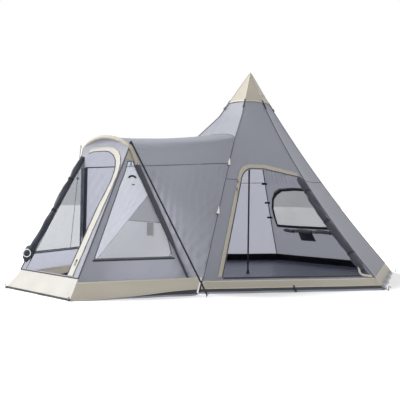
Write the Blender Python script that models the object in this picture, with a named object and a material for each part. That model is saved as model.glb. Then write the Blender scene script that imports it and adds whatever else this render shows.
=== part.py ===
"""Teepee tent with a porch: a six-sided canopy on one centre pole, and a hooped porch on its front side.

The teepee's axis is the tent's own vertical axis, the porch points along -X, and the ground is z = 0.
The near side, with the side door, is -Y. Every length is in metres.
"""

import math

import bmesh
import bpy
from mathutils import Vector

# Driving dimensions of the teepee
HEIGHT = 3.0
CORNER_RADIUS = 2.36
CORNERS = {
    "near_front": 210,
    "near_middle": 270,
    "near_rear": 330,
    "far_rear": 30,
    "far_middle": 90,
    "far_front": 150,
}
RIDGE_SAG = {"near_middle": 0.22, "near_rear": 0.13, "far_rear": 0.14, "far_middle": 0.13}
PORCH_RIDGE_PULL = [(0.0, 0.06), (1.88, 0.06), (2.32, -0.06), (HEIGHT, 0.0)]
CANOPY_TOP = 2.8
SKIRT_TOP = 0.135
CAP_BOTTOM = 2.535
PANEL_HEIGHTS = [0.45, 0.75, 1.05, 1.35, 1.62, 1.88, 2.1, 2.32, CAP_BOTTOM, 2.67]
BEND_HEIGHTS = [0.0, SKIRT_TOP, *PANEL_HEIGHTS, CANOPY_TOP, 2.94, HEIGHT]
CLOTH = 0.0025
GAP = 0.0004
SEAM_GAP = 0.0008

# Peak cap
CAP_TIP = 3.015
CAP_STAND_OFF = 0.0025

# Centre pole
POLE_RADIUS = 0.0125
POLE_BORE = 0.0112
SPIGOT_RADIUS = 0.0108
SPIGOT_BORE = 0.0094
SPIGOT_LENGTH = 0.09
POLE_BOTTOM = 0.03
POLE_JOINTS = (1.0, 1.97)
POLE_TOP = 2.9

# Side door, cut in the near front side of the teepee
DOOR_SILL = 0.18
DOOR_CORNER = 0.13
DOOR_TOP = 1.53
DOOR_FRONT_MARGIN = 0.245
DOOR_REAR_MARGIN = 0.05
DOOR_TRIM_WIDTH = 0.065
TRIM_FACE = 0.0065
TRIM_BACK = 0.004
ZIP_LOW = 0.34
ZIP_HIGH = 1.32
ZIP_PARKED = 1.2

# Rear window
WINDOW_BOTTOM = 0.68
WINDOW_TOP = 1.28
WINDOW_HALF = 0.76
WINDOW_FRAME = 0.035

# Inner door below the front side of the canopy, seen from the porch
INNER_DOOR_TOP = 0.79

# Porch hoop
HOOP_FOOT = Vector((-2.15, -1.20, 0.0))
HOOP_SHOULDER = Vector((-2.545, -0.575, 1.50))
HOOP_ARCH = [
    (0.575, 1.50),
    (0.535, 1.64),
    (0.485, 1.725),
    (0.395, 1.783),
    (0.297, 1.818),
    (0.163, 1.848),
    (0.0, 1.862),
]
HOOP_JOINT = 1.30
HOOP_RADIUS = 0.008
HOOP_BORE = 0.0068
HOOP_SPIGOT = 0.0064
SLEEVE_RADIUS = 0.021
SLEEVE_BORE = 0.0105
HOOP_CLEAR = 0.026

# Porch roof, walls and skirts
ROOF_REAR = [
    (0.585, 1.59),
    (0.51, 1.78),
    (0.473, 1.874),
    (0.42, 1.955),
    (0.32, 2.0),
    (0.17, 2.025),
    (0.0, 2.032),
]
ROOF_SAG = 0.035
PORCH_SEAM = (1.50, 1.59)
FRONT_TOP_NEAR = Vector((-2.60, -0.50, 1.75))
FRONT_TOP_FAR = Vector((-2.60, 0.44, 1.75))
FRONT_BASE_NEAR = Vector((-3.60, -0.78, 0.0))
FRONT_BASE_FAR = Vector((-3.60, 0.53, 0.0))
FRONT_SKIRT_TOP = 0.23
FRONT_SKIRT_FLARE = 0.13
FRONT_BEND_START = 1.6
FRONT_BEND = 1.4
SIDE_SKIRT_TOP = 0.185
GUSSET_TOP = 1.55

# Guy straps
GUY_WIDTH = 0.02
GUY_THICKNESS = 0.002
GUY_TOPS = {-1: Vector((-2.625, -0.555, 1.775)), 1: Vector((-2.625, 0.52, 1.775))}
GUY_PEG = Vector((-2.21, -1.45, 0.0))
RUNNER_AT = 0.24

# Ground
FLOOR_THICKNESS = 0.002
TUB_HEIGHT = 0.13
PEG_RADIUS = 0.004
PEG_HEIGHT = 0.055
CORNER_PEG_REACH = 0.05

# Where the tent's own axis lies in the model
AXIS_X = 0.77644


def colour_material(name, colour, roughness, metallic=0.0, alpha=1.0):
    material = bpy.data.materials.new(name)
    material.use_nodes = True
    shader = material.node_tree.nodes["Principled BSDF"]
    shader.inputs["Base Color"].default_value = (*colour, 1.0)
    shader.inputs["Roughness"].default_value = roughness
    shader.inputs["Metallic"].default_value = metallic
    shader.inputs["Alpha"].default_value = alpha
    return material


def add_mesh(name, shape, material, smooth=None):
    """Turns a bmesh into a named object under the tent's axis."""
    bmesh.ops.recalc_face_normals(shape, faces=shape.faces)
    mesh = bpy.data.meshes.new(name)
    shape.to_mesh(mesh)
    shape.free()
    if smooth is not None:
        mesh.shade_smooth()
        mesh.set_sharp_from_angle(angle=math.radians(smooth))
    mesh.materials.append(material)
    obj = bpy.data.objects.new(name, mesh)
    bpy.context.collection.objects.link(obj)
    obj.parent = tent_axis
    return obj


# ---------------------------------------------------------------- geometry of the teepee


def lerp(a, b, t):
    return a + (b - a) * t


def stepped(table, x):
    """Straight-line interpolation in a short list of (x, value) pairs."""
    for (x0, y0), (x1, y1) in zip(table, table[1:]):
        if x <= x1:
            return lerp(y0, y1, (x - x0) / (x1 - x0))
    return table[-1][1]


def ridge_curve(corner, z):
    """A corner ridge's distance from the axis. Free ridges hang in, and the porch pulls its two out."""
    straight = CORNER_RADIUS * (1 - z / HEIGHT)
    if corner in RIDGE_SAG:
        t = z / HEIGHT
        return straight - RIDGE_SAG[corner] * 4 * t * (1 - t)
    return straight + stepped(PORCH_RIDGE_PULL, z)


def ridge_radius(corner, z):
    """The ridge as straight runs between the heights that every piece bends at, so that all pieces fit."""
    return stepped([(height, ridge_curve(corner, height)) for height in BEND_HEIGHTS], z)


def ridge_point(corner, z):
    angle = math.radians(CORNERS[corner])
    radius = ridge_radius(corner, z)
    return Vector((radius * math.cos(angle), radius * math.sin(angle), z))


def outward(point, distance):
    """Moves a point away from the tent's axis, at its own height."""
    radius = math.hypot(point.x, point.y)
    factor = 1 + distance / radius
    return Vector((point.x * factor, point.y * factor, point.z))


def panel_point(side, u, z):
    """A point of one side of the teepee, u = 0 at its first corner's ridge and 1 at the second's."""
    first, second = side
    return ridge_point(first, z).lerp(ridge_point(second, z), u)


def panel_width(side, z):
    return (panel_point(side, 1, z) - panel_point(side, 0, z)).length


FRONT = ("far_front", "near_front")
SIDE_DOOR = ("near_front", "near_middle")
NEAR_REAR = ("near_middle", "near_rear")
REAR = ("near_rear", "far_rear")
FAR_REAR = ("far_rear", "far_middle")
FAR_FRONT = ("far_middle", "far_front")


def panel_layers(side, near_face, far_face):
    """Outer and inner surface of a piece that lies along one side of the teepee."""

    def outer(u, z):
        return outward(panel_point(side, u, z), near_face)

    def inner(u, z):
        return outward(panel_point(side, u, z), far_face)

    return outer, inner


# ---------------------------------------------------------------- sheets


def steps(start, end, count):
    return [lerp(start, end, i / count) for i in range(count + 1)]


def rectangle(u0, u1, v0, v1):
    return [(u0, v0), (u1, v0), (u1, v1), (u0, v1)]


def add_sheet(name, outline, layers, material, holes=(), across=(), up=()):
    """A thin closed solid over a flat outline, bent by the two surfaces in layers.

    across and up are the places where the outline is split, so that it can bend.
    """
    flat = bmesh.new()
    edges = []
    for loop in [outline, *holes]:
        verts = [flat.verts.new((u, v, 0)) for u, v in loop]
        edges += [flat.edges.new((a, b)) for a, b in zip(verts, verts[1:] + verts[:1])]
    bmesh.ops.triangle_fill(flat, use_beauty=True, edges=edges, normal=(0, 0, 1))
    for axis, places in ((Vector((1, 0, 0)), across), (Vector((0, 1, 0)), up)):
        for place in places:
            everything = flat.verts[:] + flat.edges[:] + flat.faces[:]
            bmesh.ops.bisect_plane(flat, geom=everything, plane_co=axis * place, plane_no=axis, dist=1e-6)
    bmesh.ops.triangulate(flat, faces=flat.faces)
    outer, inner = layers
    solid = bmesh.new()
    tops = {vert: solid.verts.new(outer(vert.co.x, vert.co.y)) for vert in flat.verts}
    bottoms = {vert: solid.verts.new(inner(vert.co.x, vert.co.y)) for vert in flat.verts}
    for face in flat.faces:
        solid.faces.new([tops[vert] for vert in face.verts])
        solid.faces.new([bottoms[vert] for vert in reversed(face.verts)])
    for edge in flat.edges:
        if edge.is_boundary:
            a, b = edge.verts
            solid.faces.new((tops[a], tops[b], bottoms[b], bottoms[a]))
    flat.free()
    return add_mesh(name, solid, material)


# ---------------------------------------------------------------- rods, tubes and turned pieces


def frame_along(path):
    """A side vector and an upright vector at every point of a path, without twist."""
    tangents = []
    for i in range(len(path)):
        tangents.append((path[min(i + 1, len(path) - 1)] - path[max(i - 1, 0)]).normalized())
    side = tangents[0].orthogonal().normalized()
    frames = []
    for tangent in tangents:
        side = (side - tangent * side.dot(tangent)).normalized()
        frames.append((side, tangent.cross(side)))
    return frames


def add_ring_loft(name, rings, material, smooth=40):
    """Closes a list of rings of points into one body, the last ring joined to the first."""
    shape = bmesh.new()
    loops = [[shape.verts.new(point) for point in ring] for ring in rings]
    for low, high in zip(loops, loops[1:] + loops[:1]):
        for i in range(len(low)):
            j = (i + 1) % len(low)
            shape.faces.new((low[i], low[j], high[j], high[i]))
    return add_mesh(name, shape, material, smooth)


def ring_at(centre, side, up, radius, sides, squash=1.0):
    points = []
    for i in range(sides):
        angle = math.tau * i / sides
        points.append(centre + side * radius * math.cos(angle) + up * radius * squash * math.sin(angle))
    return points


def add_tube(name, path, outer, bore, material, sides=12):
    """A hollow tube with open ends along a path. outer and bore give the radius at each point."""
    frames = frame_along(path)
    outside = [ring_at(p, *f, r, sides) for p, f, r in zip(path, frames, outer)]
    inside = [ring_at(p, *f, r, sides) for p, f, r in zip(path, frames, bore)]
    return add_ring_loft(name, outside + inside[::-1], material)


def add_turned(name, profile, material, sides=16, centre=(0, 0, 0)):
    """A body of revolution about a vertical line. profile lists (radius, z) and starts and ends on the line."""
    shape = bmesh.new()
    cx, cy, cz = centre
    x_axis, y_axis = Vector((1, 0, 0)), Vector((0, 1, 0))
    rings = []
    for radius, z in profile[1:-1]:
        points = ring_at(Vector((cx, cy, cz + z)), x_axis, y_axis, radius, sides)
        rings.append([shape.verts.new(point) for point in points])
    first = shape.verts.new((cx, cy, cz + profile[0][1]))
    last = shape.verts.new((cx, cy, cz + profile[-1][1]))
    for low, high in zip(rings, rings[1:]):
        for i in range(sides):
            j = (i + 1) % sides
            shape.faces.new((low[i], low[j], high[j], high[i]))
    for i in range(sides):
        j = (i + 1) % sides
        shape.faces.new((first, rings[0][j], rings[0][i]))
        shape.faces.new((last, rings[-1][i], rings[-1][j]))
    return add_mesh(name, shape, material, smooth=40)


def add_rod(name, path, radius, material, sides=10, squash=1.0, taper=None):
    """A solid round or oval rod along a path, closed at both ends."""
    frames = frame_along(path)
    shape = bmesh.new()
    loops = []
    for i, (point, (side, up)) in enumerate(zip(path, frames)):
        scale = taper[i] if taper else 1.0
        loops.append([shape.verts.new(p) for p in ring_at(point, side, up, radius * scale, sides, squash)])
    for low, high in zip(loops, loops[1:]):
        for i in range(sides):
            j = (i + 1) % sides
            shape.faces.new((low[i], low[j], high[j], high[i]))
    shape.faces.new(loops[0])
    shape.faces.new(loops[-1][::-1])
    return add_mesh(name, shape, material, smooth=50)


def smooth_curve(points, per_span):
    """Points of a Catmull-Rom curve through the given ones."""
    ends = [points[0] * 2 - points[1], *points, points[-1] * 2 - points[-2]]
    result = []
    for a, b, c, d in zip(ends, ends[1:], ends[2:], ends[3:]):
        for i in range(per_span):
            t = i / per_span
            square, cube = a * 2 - b * 5 + c * 4 - d, b * 3 - a - c * 3 + d
            result.append(0.5 * (b * 2 + (c - a) * t + square * t * t + cube * t**3))
    return result + [points[-1]]


# ---------------------------------------------------------------- teepee canopy


def add_panel(name, side, material, holes=(), bottom=SKIRT_TOP + GAP, across=()):
    """One side of the canopy, from the skirt's seam to under the peak cap."""
    layers = panel_layers(side, 0, -CLOTH)

    def edge(z):
        return SEAM_GAP / panel_width(side, z)

    heights = [bottom, *[z for z in PANEL_HEIGHTS if z > bottom], CANOPY_TOP]
    outline = [(edge(z), z) for z in heights] + [(1 - edge(z), z) for z in reversed(heights)]
    add_sheet(name, outline, layers, material, holes=holes, across=across, up=heights[1:-1])


def side_door_outline(grow):
    """The side door's opening as (u, z), made larger by grow, with the low rear corner against the rear ridge."""

    def at(distance, z):
        return (distance / panel_width(SIDE_DOOR, z), z)

    front = DOOR_FRONT_MARGIN - grow
    top = DOOR_TOP + grow
    sill = DOOR_SILL - min(grow, 0)
    radius = DOOR_CORNER
    points = [at(front, z) for z in steps(sill, top - radius, 6)]
    for i in range(1, 5):
        angle = math.radians(90 * i / 4)
        points.append(at(front + radius * (1 - math.cos(angle)), top - radius * (1 - math.sin(angle))))
    rear_margin = DOOR_REAR_MARGIN - min(grow, 0)
    points.append(at(0.56, top - 0.002))
    points.append(at(0.8, top - 0.045))
    rear_top = top - 0.115
    for z in steps(rear_top, sill, 7):
        points.append(at(panel_width(SIDE_DOOR, z) - rear_margin, z))
    return points


def trim_outline(opening, width, keep):
    """A band of the given width outside the part of an opening's outline that keep chooses."""
    inner = [opening(0.0015)[i] for i in keep]
    outer = [opening(width)[i] for i in keep]
    return inner + outer[::-1]


def rear_window_outline(grow):
    half = WINDOW_HALF + grow
    low, high = WINDOW_BOTTOM - grow, WINDOW_TOP + grow
    points = [(-half, low), (0.0, low), (half, low), (half - 0.035, 0.86)]
    bend = [(half - 0.07, 0.98), (half - 0.17, 1.12), (half - 0.31, high - 0.07), (half - 0.46, high - 0.015)]
    points += bend + [(0.0, high)] + [(-s, z) for s, z in reversed(bend)] + [(-half + 0.035, 0.86)]
    return [(0.5 + s / CORNER_RADIUS / (1 - z / HEIGHT), z) for s, z in points]


def add_canopy(materials):
    cloth = materials["cloth"]
    add_panel("front_panel", FRONT, cloth, bottom=INNER_DOOR_TOP + GAP)
    add_panel("side_door_panel", SIDE_DOOR, cloth, holes=[side_door_outline(0)], across=(0.25, 0.5, 0.75))
    add_panel("near_rear_panel", NEAR_REAR, cloth, across=(0.5,))
    add_panel("rear_window_panel", REAR, cloth, holes=[rear_window_outline(0)])
    add_panel("far_rear_panel", FAR_REAR, cloth, across=(0.5,))
    add_panel("far_front_panel", FAR_FRONT, cloth, across=(0.5,))
    heights = steps(FLOOR_THICKNESS + 0.006, INNER_DOOR_TOP, 2)
    outline = rectangle(0.02, 0.98, heights[0], heights[-1])
    layers = panel_layers(FRONT, 0, -CLOTH)
    add_sheet("inner_door_panel", outline, layers, materials["light_cloth"], up=heights[1:-1])


def add_skirts(materials):
    sides = {
        "skirt_side_door": SIDE_DOOR,
        "skirt_near_rear": NEAR_REAR,
        "skirt_rear": REAR,
        "skirt_far_rear": FAR_REAR,
        "skirt_far_front": FAR_FRONT,
    }
    for name, side in sides.items():
        edge = SEAM_GAP / CORNER_RADIUS
        outline = rectangle(edge, 1 - edge, 0.0, SKIRT_TOP)
        add_sheet(name, outline, panel_layers(side, 0, -CLOTH), materials["skirt"], across=(0.5,))


def add_peak_cap(materials):
    """A six-sided hood, open below, over the top of the canopy."""
    corners = list(CORNERS)
    heights = [CAP_BOTTOM, 2.67, CANOPY_TOP, 2.94]
    shape = bmesh.new()

    def ring(z, stand_off):
        return [shape.verts.new(outward(ridge_point(corner, z), stand_off)) for corner in corners]

    outside = [ring(z, CAP_STAND_OFF + 0.003) for z in heights]
    inside = [ring(z, CAP_STAND_OFF) for z in heights]
    tip_out = shape.verts.new((0, 0, CAP_TIP))
    tip_in = shape.verts.new((0, 0, CAP_TIP - 0.012))
    count = len(corners)
    for rings, tip in ((outside, tip_out), (inside, tip_in)):
        for low, high in zip(rings, rings[1:]):
            for i in range(count):
                j = (i + 1) % count
                shape.faces.new((low[i], low[j], high[j], high[i]))
        for i in range(count):
            shape.faces.new((rings[-1][i], rings[-1][(i + 1) % count], tip))
    for i in range(count):
        j = (i + 1) % count
        shape.faces.new((outside[0][i], outside[0][j], inside[0][j], inside[0][i]))
    add_mesh("peak_cap", shape, materials["trim"])


def add_inner_groundsheet(materials):
    """A six-sided tray: a floor on the ground with a low wall inside the canopy."""
    corners = list(CORNERS)
    wall_gap = 0.02

    def ring(z, inset):
        return [outward(ridge_point(corner, z), -wall_gap - inset) for corner in corners]

    rings = [
        ring(0.0, 0.0),
        ring(TUB_HEIGHT, 0.0),
        ring(TUB_HEIGHT, CLOTH),
        ring(FLOOR_THICKNESS, CLOTH),
    ]
    shape = bmesh.new()
    loops = [[shape.verts.new(point) for point in points] for points in rings]
    count = len(corners)
    for i in range(count):
        j = (i + 1) % count
        ground, outer, inner, floor = ((loop[i], loop[j]) for loop in loops)
        # both faces of the wall fold along the same diagonal, so they stay a cloth's thickness apart
        for low, high in ((ground, outer), (floor, inner)):
            shape.faces.new((low[0], low[1], high[1]))
            shape.faces.new((low[0], high[1], high[0]))
        shape.faces.new((*outer, inner[1], inner[0]))
    for loop, height in ((loops[0], 0.0), (loops[-1], FLOOR_THICKNESS)):
        middle = shape.verts.new((0, 0, height))
        for i in range(count):
            shape.faces.new((middle, loop[i], loop[(i + 1) % count]))
    add_mesh("inner_groundsheet", shape, materials["groundsheet"])


# ---------------------------------------------------------------- centre pole


def add_pole_section(name, bottom, top, material, spigot):
    """A round tube. The lower sections end in a narrower spigot that enters the next one's bore."""
    heights = [bottom, top - 0.02, top]
    outer = [POLE_RADIUS] * 3
    bore = [POLE_BORE] * 3
    if spigot:
        heights += [top + 0.0002, top + SPIGOT_LENGTH]
        outer += [SPIGOT_RADIUS] * 2
        bore = [POLE_BORE] * 2 + [SPIGOT_BORE] * 3
    path = [Vector((0, 0, z)) for z in heights]
    add_tube(name, path, outer, bore, material, sides=20)


def add_centre_pole(materials):
    steel = materials["steel"]
    ends = (POLE_BOTTOM, *POLE_JOINTS, POLE_TOP)
    for i, name in enumerate(("centre_pole_lower", "centre_pole_middle", "centre_pole_upper")):
        add_pole_section(name, ends[i] + GAP, ends[i + 1], steel, spigot=i < 2)
    floor = FLOOR_THICKNESS + GAP
    foot = [(0, floor), (0.03, floor), (0.03, floor + 0.006), (0.019, 0.02), (0.0165, 0.055)]
    foot += [(POLE_RADIUS + GAP, 0.055), (POLE_RADIUS + GAP, POLE_BOTTOM), (0, POLE_BOTTOM)]
    add_turned("pole_foot", foot, materials["plastic"], sides=20)
    head = [(0, -0.04), (0.0105, -0.04), (0.0105, GAP), (0.019, GAP)]
    head += [(0.019, 0.02), (0.013, 0.034), (0.005, 0.04), (0, 0.041)]
    head = [(radius, POLE_TOP + rise) for radius, rise in head]
    add_turned("pole_head", head, materials["plastic"], sides=20)


# ---------------------------------------------------------------- side door and rear window


def add_side_door(materials):
    opening = side_door_outline(0)
    front_and_top = range(0, len(opening) - 7)
    band = trim_outline(side_door_outline, DOOR_TRIM_WIDTH, front_and_top)
    layers = panel_layers(SIDE_DOOR, TRIM_FACE, TRIM_BACK)
    add_sheet("side_door_trim", band, layers, materials["trim"], up=PANEL_HEIGHTS[:5])
    path = []
    for z in steps(0.27, 1.42, 8):
        width = panel_width(SIDE_DOOR, z)
        path.append(outward(panel_point(SIDE_DOOR, 1 - 0.13 / width, z), 0.068))
    taper = [0.85, 1.05, 1.0, 0.9, 1.05, 1.0, 0.88, 0.95, 0.75]
    add_rod("side_door_roll", path, 0.052, materials["dark_cloth"], sides=12, taper=taper)


def add_rear_window(materials):
    def glass(u, z):
        return outward(panel_point(REAR, u, z), -0.0005)

    def glass_back(u, z):
        return outward(panel_point(REAR, u, z), -0.0015)

    up = [z for z in PANEL_HEIGHTS if WINDOW_BOTTOM < z < WINDOW_TOP]
    add_sheet("rear_window_pane", rear_window_outline(-0.0015), (glass, glass_back), materials["clear"], up=up)
    frame = panel_layers(REAR, -CLOTH - 0.0005, -CLOTH - 0.003)
    hole = rear_window_outline(-0.012)
    rim = rear_window_outline(WINDOW_FRAME)
    add_sheet("rear_window_frame", rim, frame, materials["plastic"], holes=[hole], up=up)
    path = []
    for u in steps(0.16, 0.84, 8):
        path.append(outward(panel_point(REAR, u, WINDOW_BOTTOM - 0.085), -0.045))
    taper = [0.7, 0.95, 1.0, 0.92, 1.0, 0.93, 1.0, 0.95, 0.7]
    add_rod("rear_window_cover_roll", path, 0.03, materials["cloth"], sides=10, taper=taper)


def door_edge_point(z):
    """Where the side door's zip runs, on the outer face of the trim."""
    place = (DOOR_FRONT_MARGIN - 0.012) / panel_width(SIDE_DOOR, z)
    return outward(panel_point(SIDE_DOOR, place, z), TRIM_FACE)


# ---------------------------------------------------------------- porch


def hoop_x(z):
    return HOOP_FOOT.x + (HOOP_SHOULDER.x - HOOP_FOOT.x) * z / HOOP_SHOULDER.z


def leg_point(z, hand):
    """The pole's centre on one leg. hand is -1 on the near side and 1 on the far side."""
    point = HOOP_FOOT.lerp(HOOP_SHOULDER, z / HOOP_SHOULDER.z)
    return Vector((point.x, -hand * point.y, z))


def arch_path(per_span):
    """The pole's centre from the near shoulder over the top to the far shoulder."""
    near = [Vector((hoop_x(z), -y, z)) for y, z in HOOP_ARCH]
    far = [Vector((p.x, -p.y, p.z)) for p in reversed(near[:-1])]
    return smooth_curve(near + far, per_span)


def seam_point(z, hand):
    """The cloth seam beside a leg, just inside the pole."""
    point = leg_point(min(z, HOOP_SHOULDER.z), hand)
    if z > HOOP_SHOULDER.z:
        table = [(height, y) for y, height in HOOP_ARCH]
        point = Vector((hoop_x(z), hand * stepped(table, z), z))
    return point + Vector((0.008, -hand * HOOP_CLEAR, 0.0))


def front_edge(z, hand):
    """The seam between the front wall and a side gusset."""
    top, base = (FRONT_TOP_NEAR, FRONT_BASE_NEAR) if hand < 0 else (FRONT_TOP_FAR, FRONT_BASE_FAR)
    return base.lerp(top, z / top.z)


def thicken(surface, direction, depth=CLOTH):
    """Outer and inner face of a porch piece, the inner one moved along a fixed direction."""

    def outer(u, v):
        return surface(u, v)

    def inner(u, v):
        return surface(u, v) + direction * depth

    return outer, inner


def along_curve(curve, u):
    """A point of a curve given as a list of points, u from 0 to 1."""
    place = u * (len(curve) - 1)
    i = min(int(place), len(curve) - 2)
    return curve[i].lerp(curve[i + 1], place - i)


def roof_curves():
    """The roof's front edge behind the hoop, and its rear edge on the teepee's front side."""
    front = [Vector((p.x + HOOP_CLEAR, p.y, p.z)) for p in arch_path(2)]
    near = [Vector((0, -y, z)) for y, z in ROOF_REAR]
    far = [Vector((0, -p.y, p.z)) for p in reversed(near[:-1])]
    rear = []
    for point in smooth_curve(near + far, 2):
        middle = panel_point(FRONT, 0.5, point.z)
        rear.append(Vector((middle.x - 0.006, point.y, point.z)))
    return front, rear


def add_porch_roof(materials):
    """A barrel from the hoop to the teepee's front side; u runs across it, v from the hoop backwards."""
    front, rear = roof_curves()
    count = len(front) - 1
    lengthwise = 5

    def surface(u, v):
        point = along_curve(front, u).lerp(along_curve(rear, u), v)
        sag = ROOF_SAG * 4 * v * (1 - v)
        return point - Vector((0, 0, sag * max(0.0, math.sin(math.pi * u)) ** 0.5))

    def inner(u, v):
        point = surface(u, v)
        middle = Vector((point.x, 0, 1.3))
        return point + (middle - point).normalized() * CLOTH

    across = [i / count for i in range(1, count)]
    up = [i / lengthwise for i in range(1, lengthwise)]
    add_sheet("porch_roof", rectangle(0, 1, 0, 1), (surface, inner), materials["cloth"], across=across, up=up)


def side_surface(hand):
    """The wall between a hoop leg and the teepee's front ridge; v is 0 at the base and 1 at the roof's seam."""
    corner = "near_front" if hand < 0 else "far_front"

    def surface(u, v):
        front_z, rear_z = (lerp(SIDE_SKIRT_TOP + GAP, top - 0.003, v) for top in PORCH_SEAM)
        front = seam_point(front_z, hand) + Vector((0.02, 0, 0))
        rear = outward(ridge_point(corner, rear_z), 0.007)
        return front.lerp(rear, u)

    return surface


def gusset_surface(hand):
    """The triangle between the front wall's edge (u = 0) and a hoop leg (u = 1), at height z."""

    def surface(u, z):
        return front_edge(z, hand).lerp(seam_point(z, hand) - Vector((0.004, 0, 0)), u)

    return surface


def gusset_window(hand, grow):
    """The clear triangle of a gusset as (u, z)."""
    surface = gusset_surface(hand)
    low, high = 0.46 - grow, 1.52 + grow
    width = (surface(1, low) - surface(0, low)).length
    front_foot = Vector(((0.125 - grow) / width, low))
    rear_foot = Vector((1 - (0.1 - grow) / width, low))
    rear_knee = Vector((1 - (0.06 - grow) / width, low + 0.22))
    grow_across = grow / 0.18
    apex_front, apex_rear = Vector((0.5 - grow_across, high)), Vector((0.68 + grow_across, high))
    front = [edge_between(surface, front_foot, apex_front, i / 4) for i in range(5)]
    rear = [edge_between(surface, apex_rear, rear_knee, i / 4) for i in range(5)]
    return front + rear + [tuple(rear_foot)]


def edge_between(surface, first, second, t):
    """A point of the straight line in space between two points of a surface, as its (u, z)."""
    start, end = surface(*first), surface(*second)
    point = start.lerp(end, t)
    left, right = surface(0, point.z), surface(1, point.z)
    return ((point - left).dot(right - left) / (right - left).length_squared, point.z)


def add_porch_sides(materials):
    cloth = materials["cloth"]
    for name, hand in (("near", -1), ("far", 1)):
        into = Vector((0, -hand, 0))
        add_sheet(
            f"porch_side_{name}",
            rectangle(0, 1, 0, 1),
            thicken(side_surface(hand), into),
            cloth,
            across=(0.5,),
            up=(0.25, 0.5, 0.75),
        )
        surface = gusset_surface(hand)
        layers = thicken(surface, into)
        heights = steps(SIDE_SKIRT_TOP + GAP, GUSSET_TOP, 6)
        widths = [(surface(1, z) - surface(0, z)).length for z in heights]
        outline = [(0.003 / width, z) for width, z in zip(widths, heights)]
        outline += [(1 - 0.014 / width, z) for width, z in zip(reversed(widths), reversed(heights))]
        up = heights[1:-1]
        add_sheet(f"gusset_{name}", outline, layers, cloth, holes=[gusset_window(hand, 0)], up=up)
        pane = thicken(lambda u, z, s=surface, d=into: s(u, z) + d * 0.0005, into, 0.001)
        window = gusset_window(hand, -0.0015)
        add_sheet(f"gusset_pane_{name}", window, pane, materials["clear"], up=up)


def front_top(y):
    """Height of the front wall's upper edge, below the sleeve, at a distance from the porch's middle."""
    table = [(y_arch, z) for y_arch, z in reversed(HOOP_ARCH)]
    return stepped(table, min(abs(y), 0.485)) - HOOP_CLEAR


def front_surface(y, z):
    """The porch's front wall: flat between its two slanted edges, and bent forward to the hoop near the top."""
    near, far = front_edge(z, -1), front_edge(z, 1)
    point = near.lerp(far, (y - near.y) / (far.y - near.y))
    bend = FRONT_BEND * max(0.0, z - FRONT_BEND_START) ** 2
    return Vector((point.x - bend, y, z))


def front_door_outline(grow):
    """The porch door's opening. Its near top corner is a wide arc, its far side runs beside the rolled door."""
    low, top = 0.245, 1.685
    near_low, near_high, far_low, far_high = -0.56, -0.49, 0.40, 0.33
    radius = 0.44
    points = []
    for i in range(5):
        points.append((lerp(near_low, near_high, i / 4) - grow, lerp(low, top - radius, i / 4)))
    for i in range(1, 7):
        angle = math.radians(90 * i / 6)
        along = (1 - math.cos(angle)) * radius
        rise = (math.sin(angle) - 1) * radius
        points.append((near_high - grow + along, top + grow * 0.8 + rise))
    points.append((0.2, top + grow * 0.8))
    points.append((far_high - 0.05, top - 0.02 + grow * 0.8))
    for i in range(5):
        points.append((lerp(far_high, far_low, i / 4) + min(grow, 0), lerp(top - 0.1, low, i / 4)))
    return points


def add_front_wall(materials):
    into = Vector((1, 0, -0.4)).normalized()
    layers = thicken(front_surface, into)
    gap = 0.003
    low = FRONT_SKIRT_TOP + GAP
    bends = [y for y, _ in HOOP_ARCH if 0 < y < 0.47]
    top = [(y, front_top(y)) for y in [-bend for bend in bends] + [0, *reversed(bends)]]
    side_top = top[0][1] - 0.05
    near = [(front_edge(z, -1).y + gap, z) for z in (low, side_top)]
    far = [(front_edge(z, 1).y - gap, z) for z in (side_top, low)]
    outline = near + top + far
    across = (-0.3, 0.0, 0.25)
    up = (0.6, 1.0, 1.4, FRONT_BEND_START, 1.68, 1.76)
    hole = front_door_outline(0)
    cloth = materials["cloth"]
    add_sheet("porch_front_wall", outline, layers, cloth, holes=[hole], across=across, up=up)
    out = -into
    trim = (
        lambda u, v: front_surface(u, v) + out * 0.0055,
        lambda u, v: front_surface(u, v) + out * 0.003,
    )
    near_and_top = range(0, len(hole) - 5)
    band = trim_outline(front_door_outline, 0.062, near_and_top)
    add_sheet("front_door_trim", band, trim, materials["trim"], across=across, up=up)
    path = []
    for i in range(9):
        z = lerp(1.60, 0.31, i / 8)
        y = lerp(0.285, 0.40, i / 8)
        path.append(front_surface(y, z) + out * 0.06)
    taper = [0.6, 0.75, 0.8, 0.85, 0.82, 0.95, 1.0, 1.25, 1.2]
    add_rod("front_door_roll", path, 0.042, materials["dark_cloth"], sides=12, taper=taper)


def front_zip_point(z):
    """Where the porch door's zip runs along the near edge of the opening, on the trim's outer face."""
    y = lerp(-0.56, -0.50, (z - 0.245) / 1.0) - 0.012
    return front_surface(y, z)


def skirt_flare(z):
    """The far front corner of the skirt spreads towards the ground."""
    return Vector((0, FRONT_SKIRT_FLARE * max(0.0, 1 - z / SIDE_SKIRT_TOP), 0))


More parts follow.
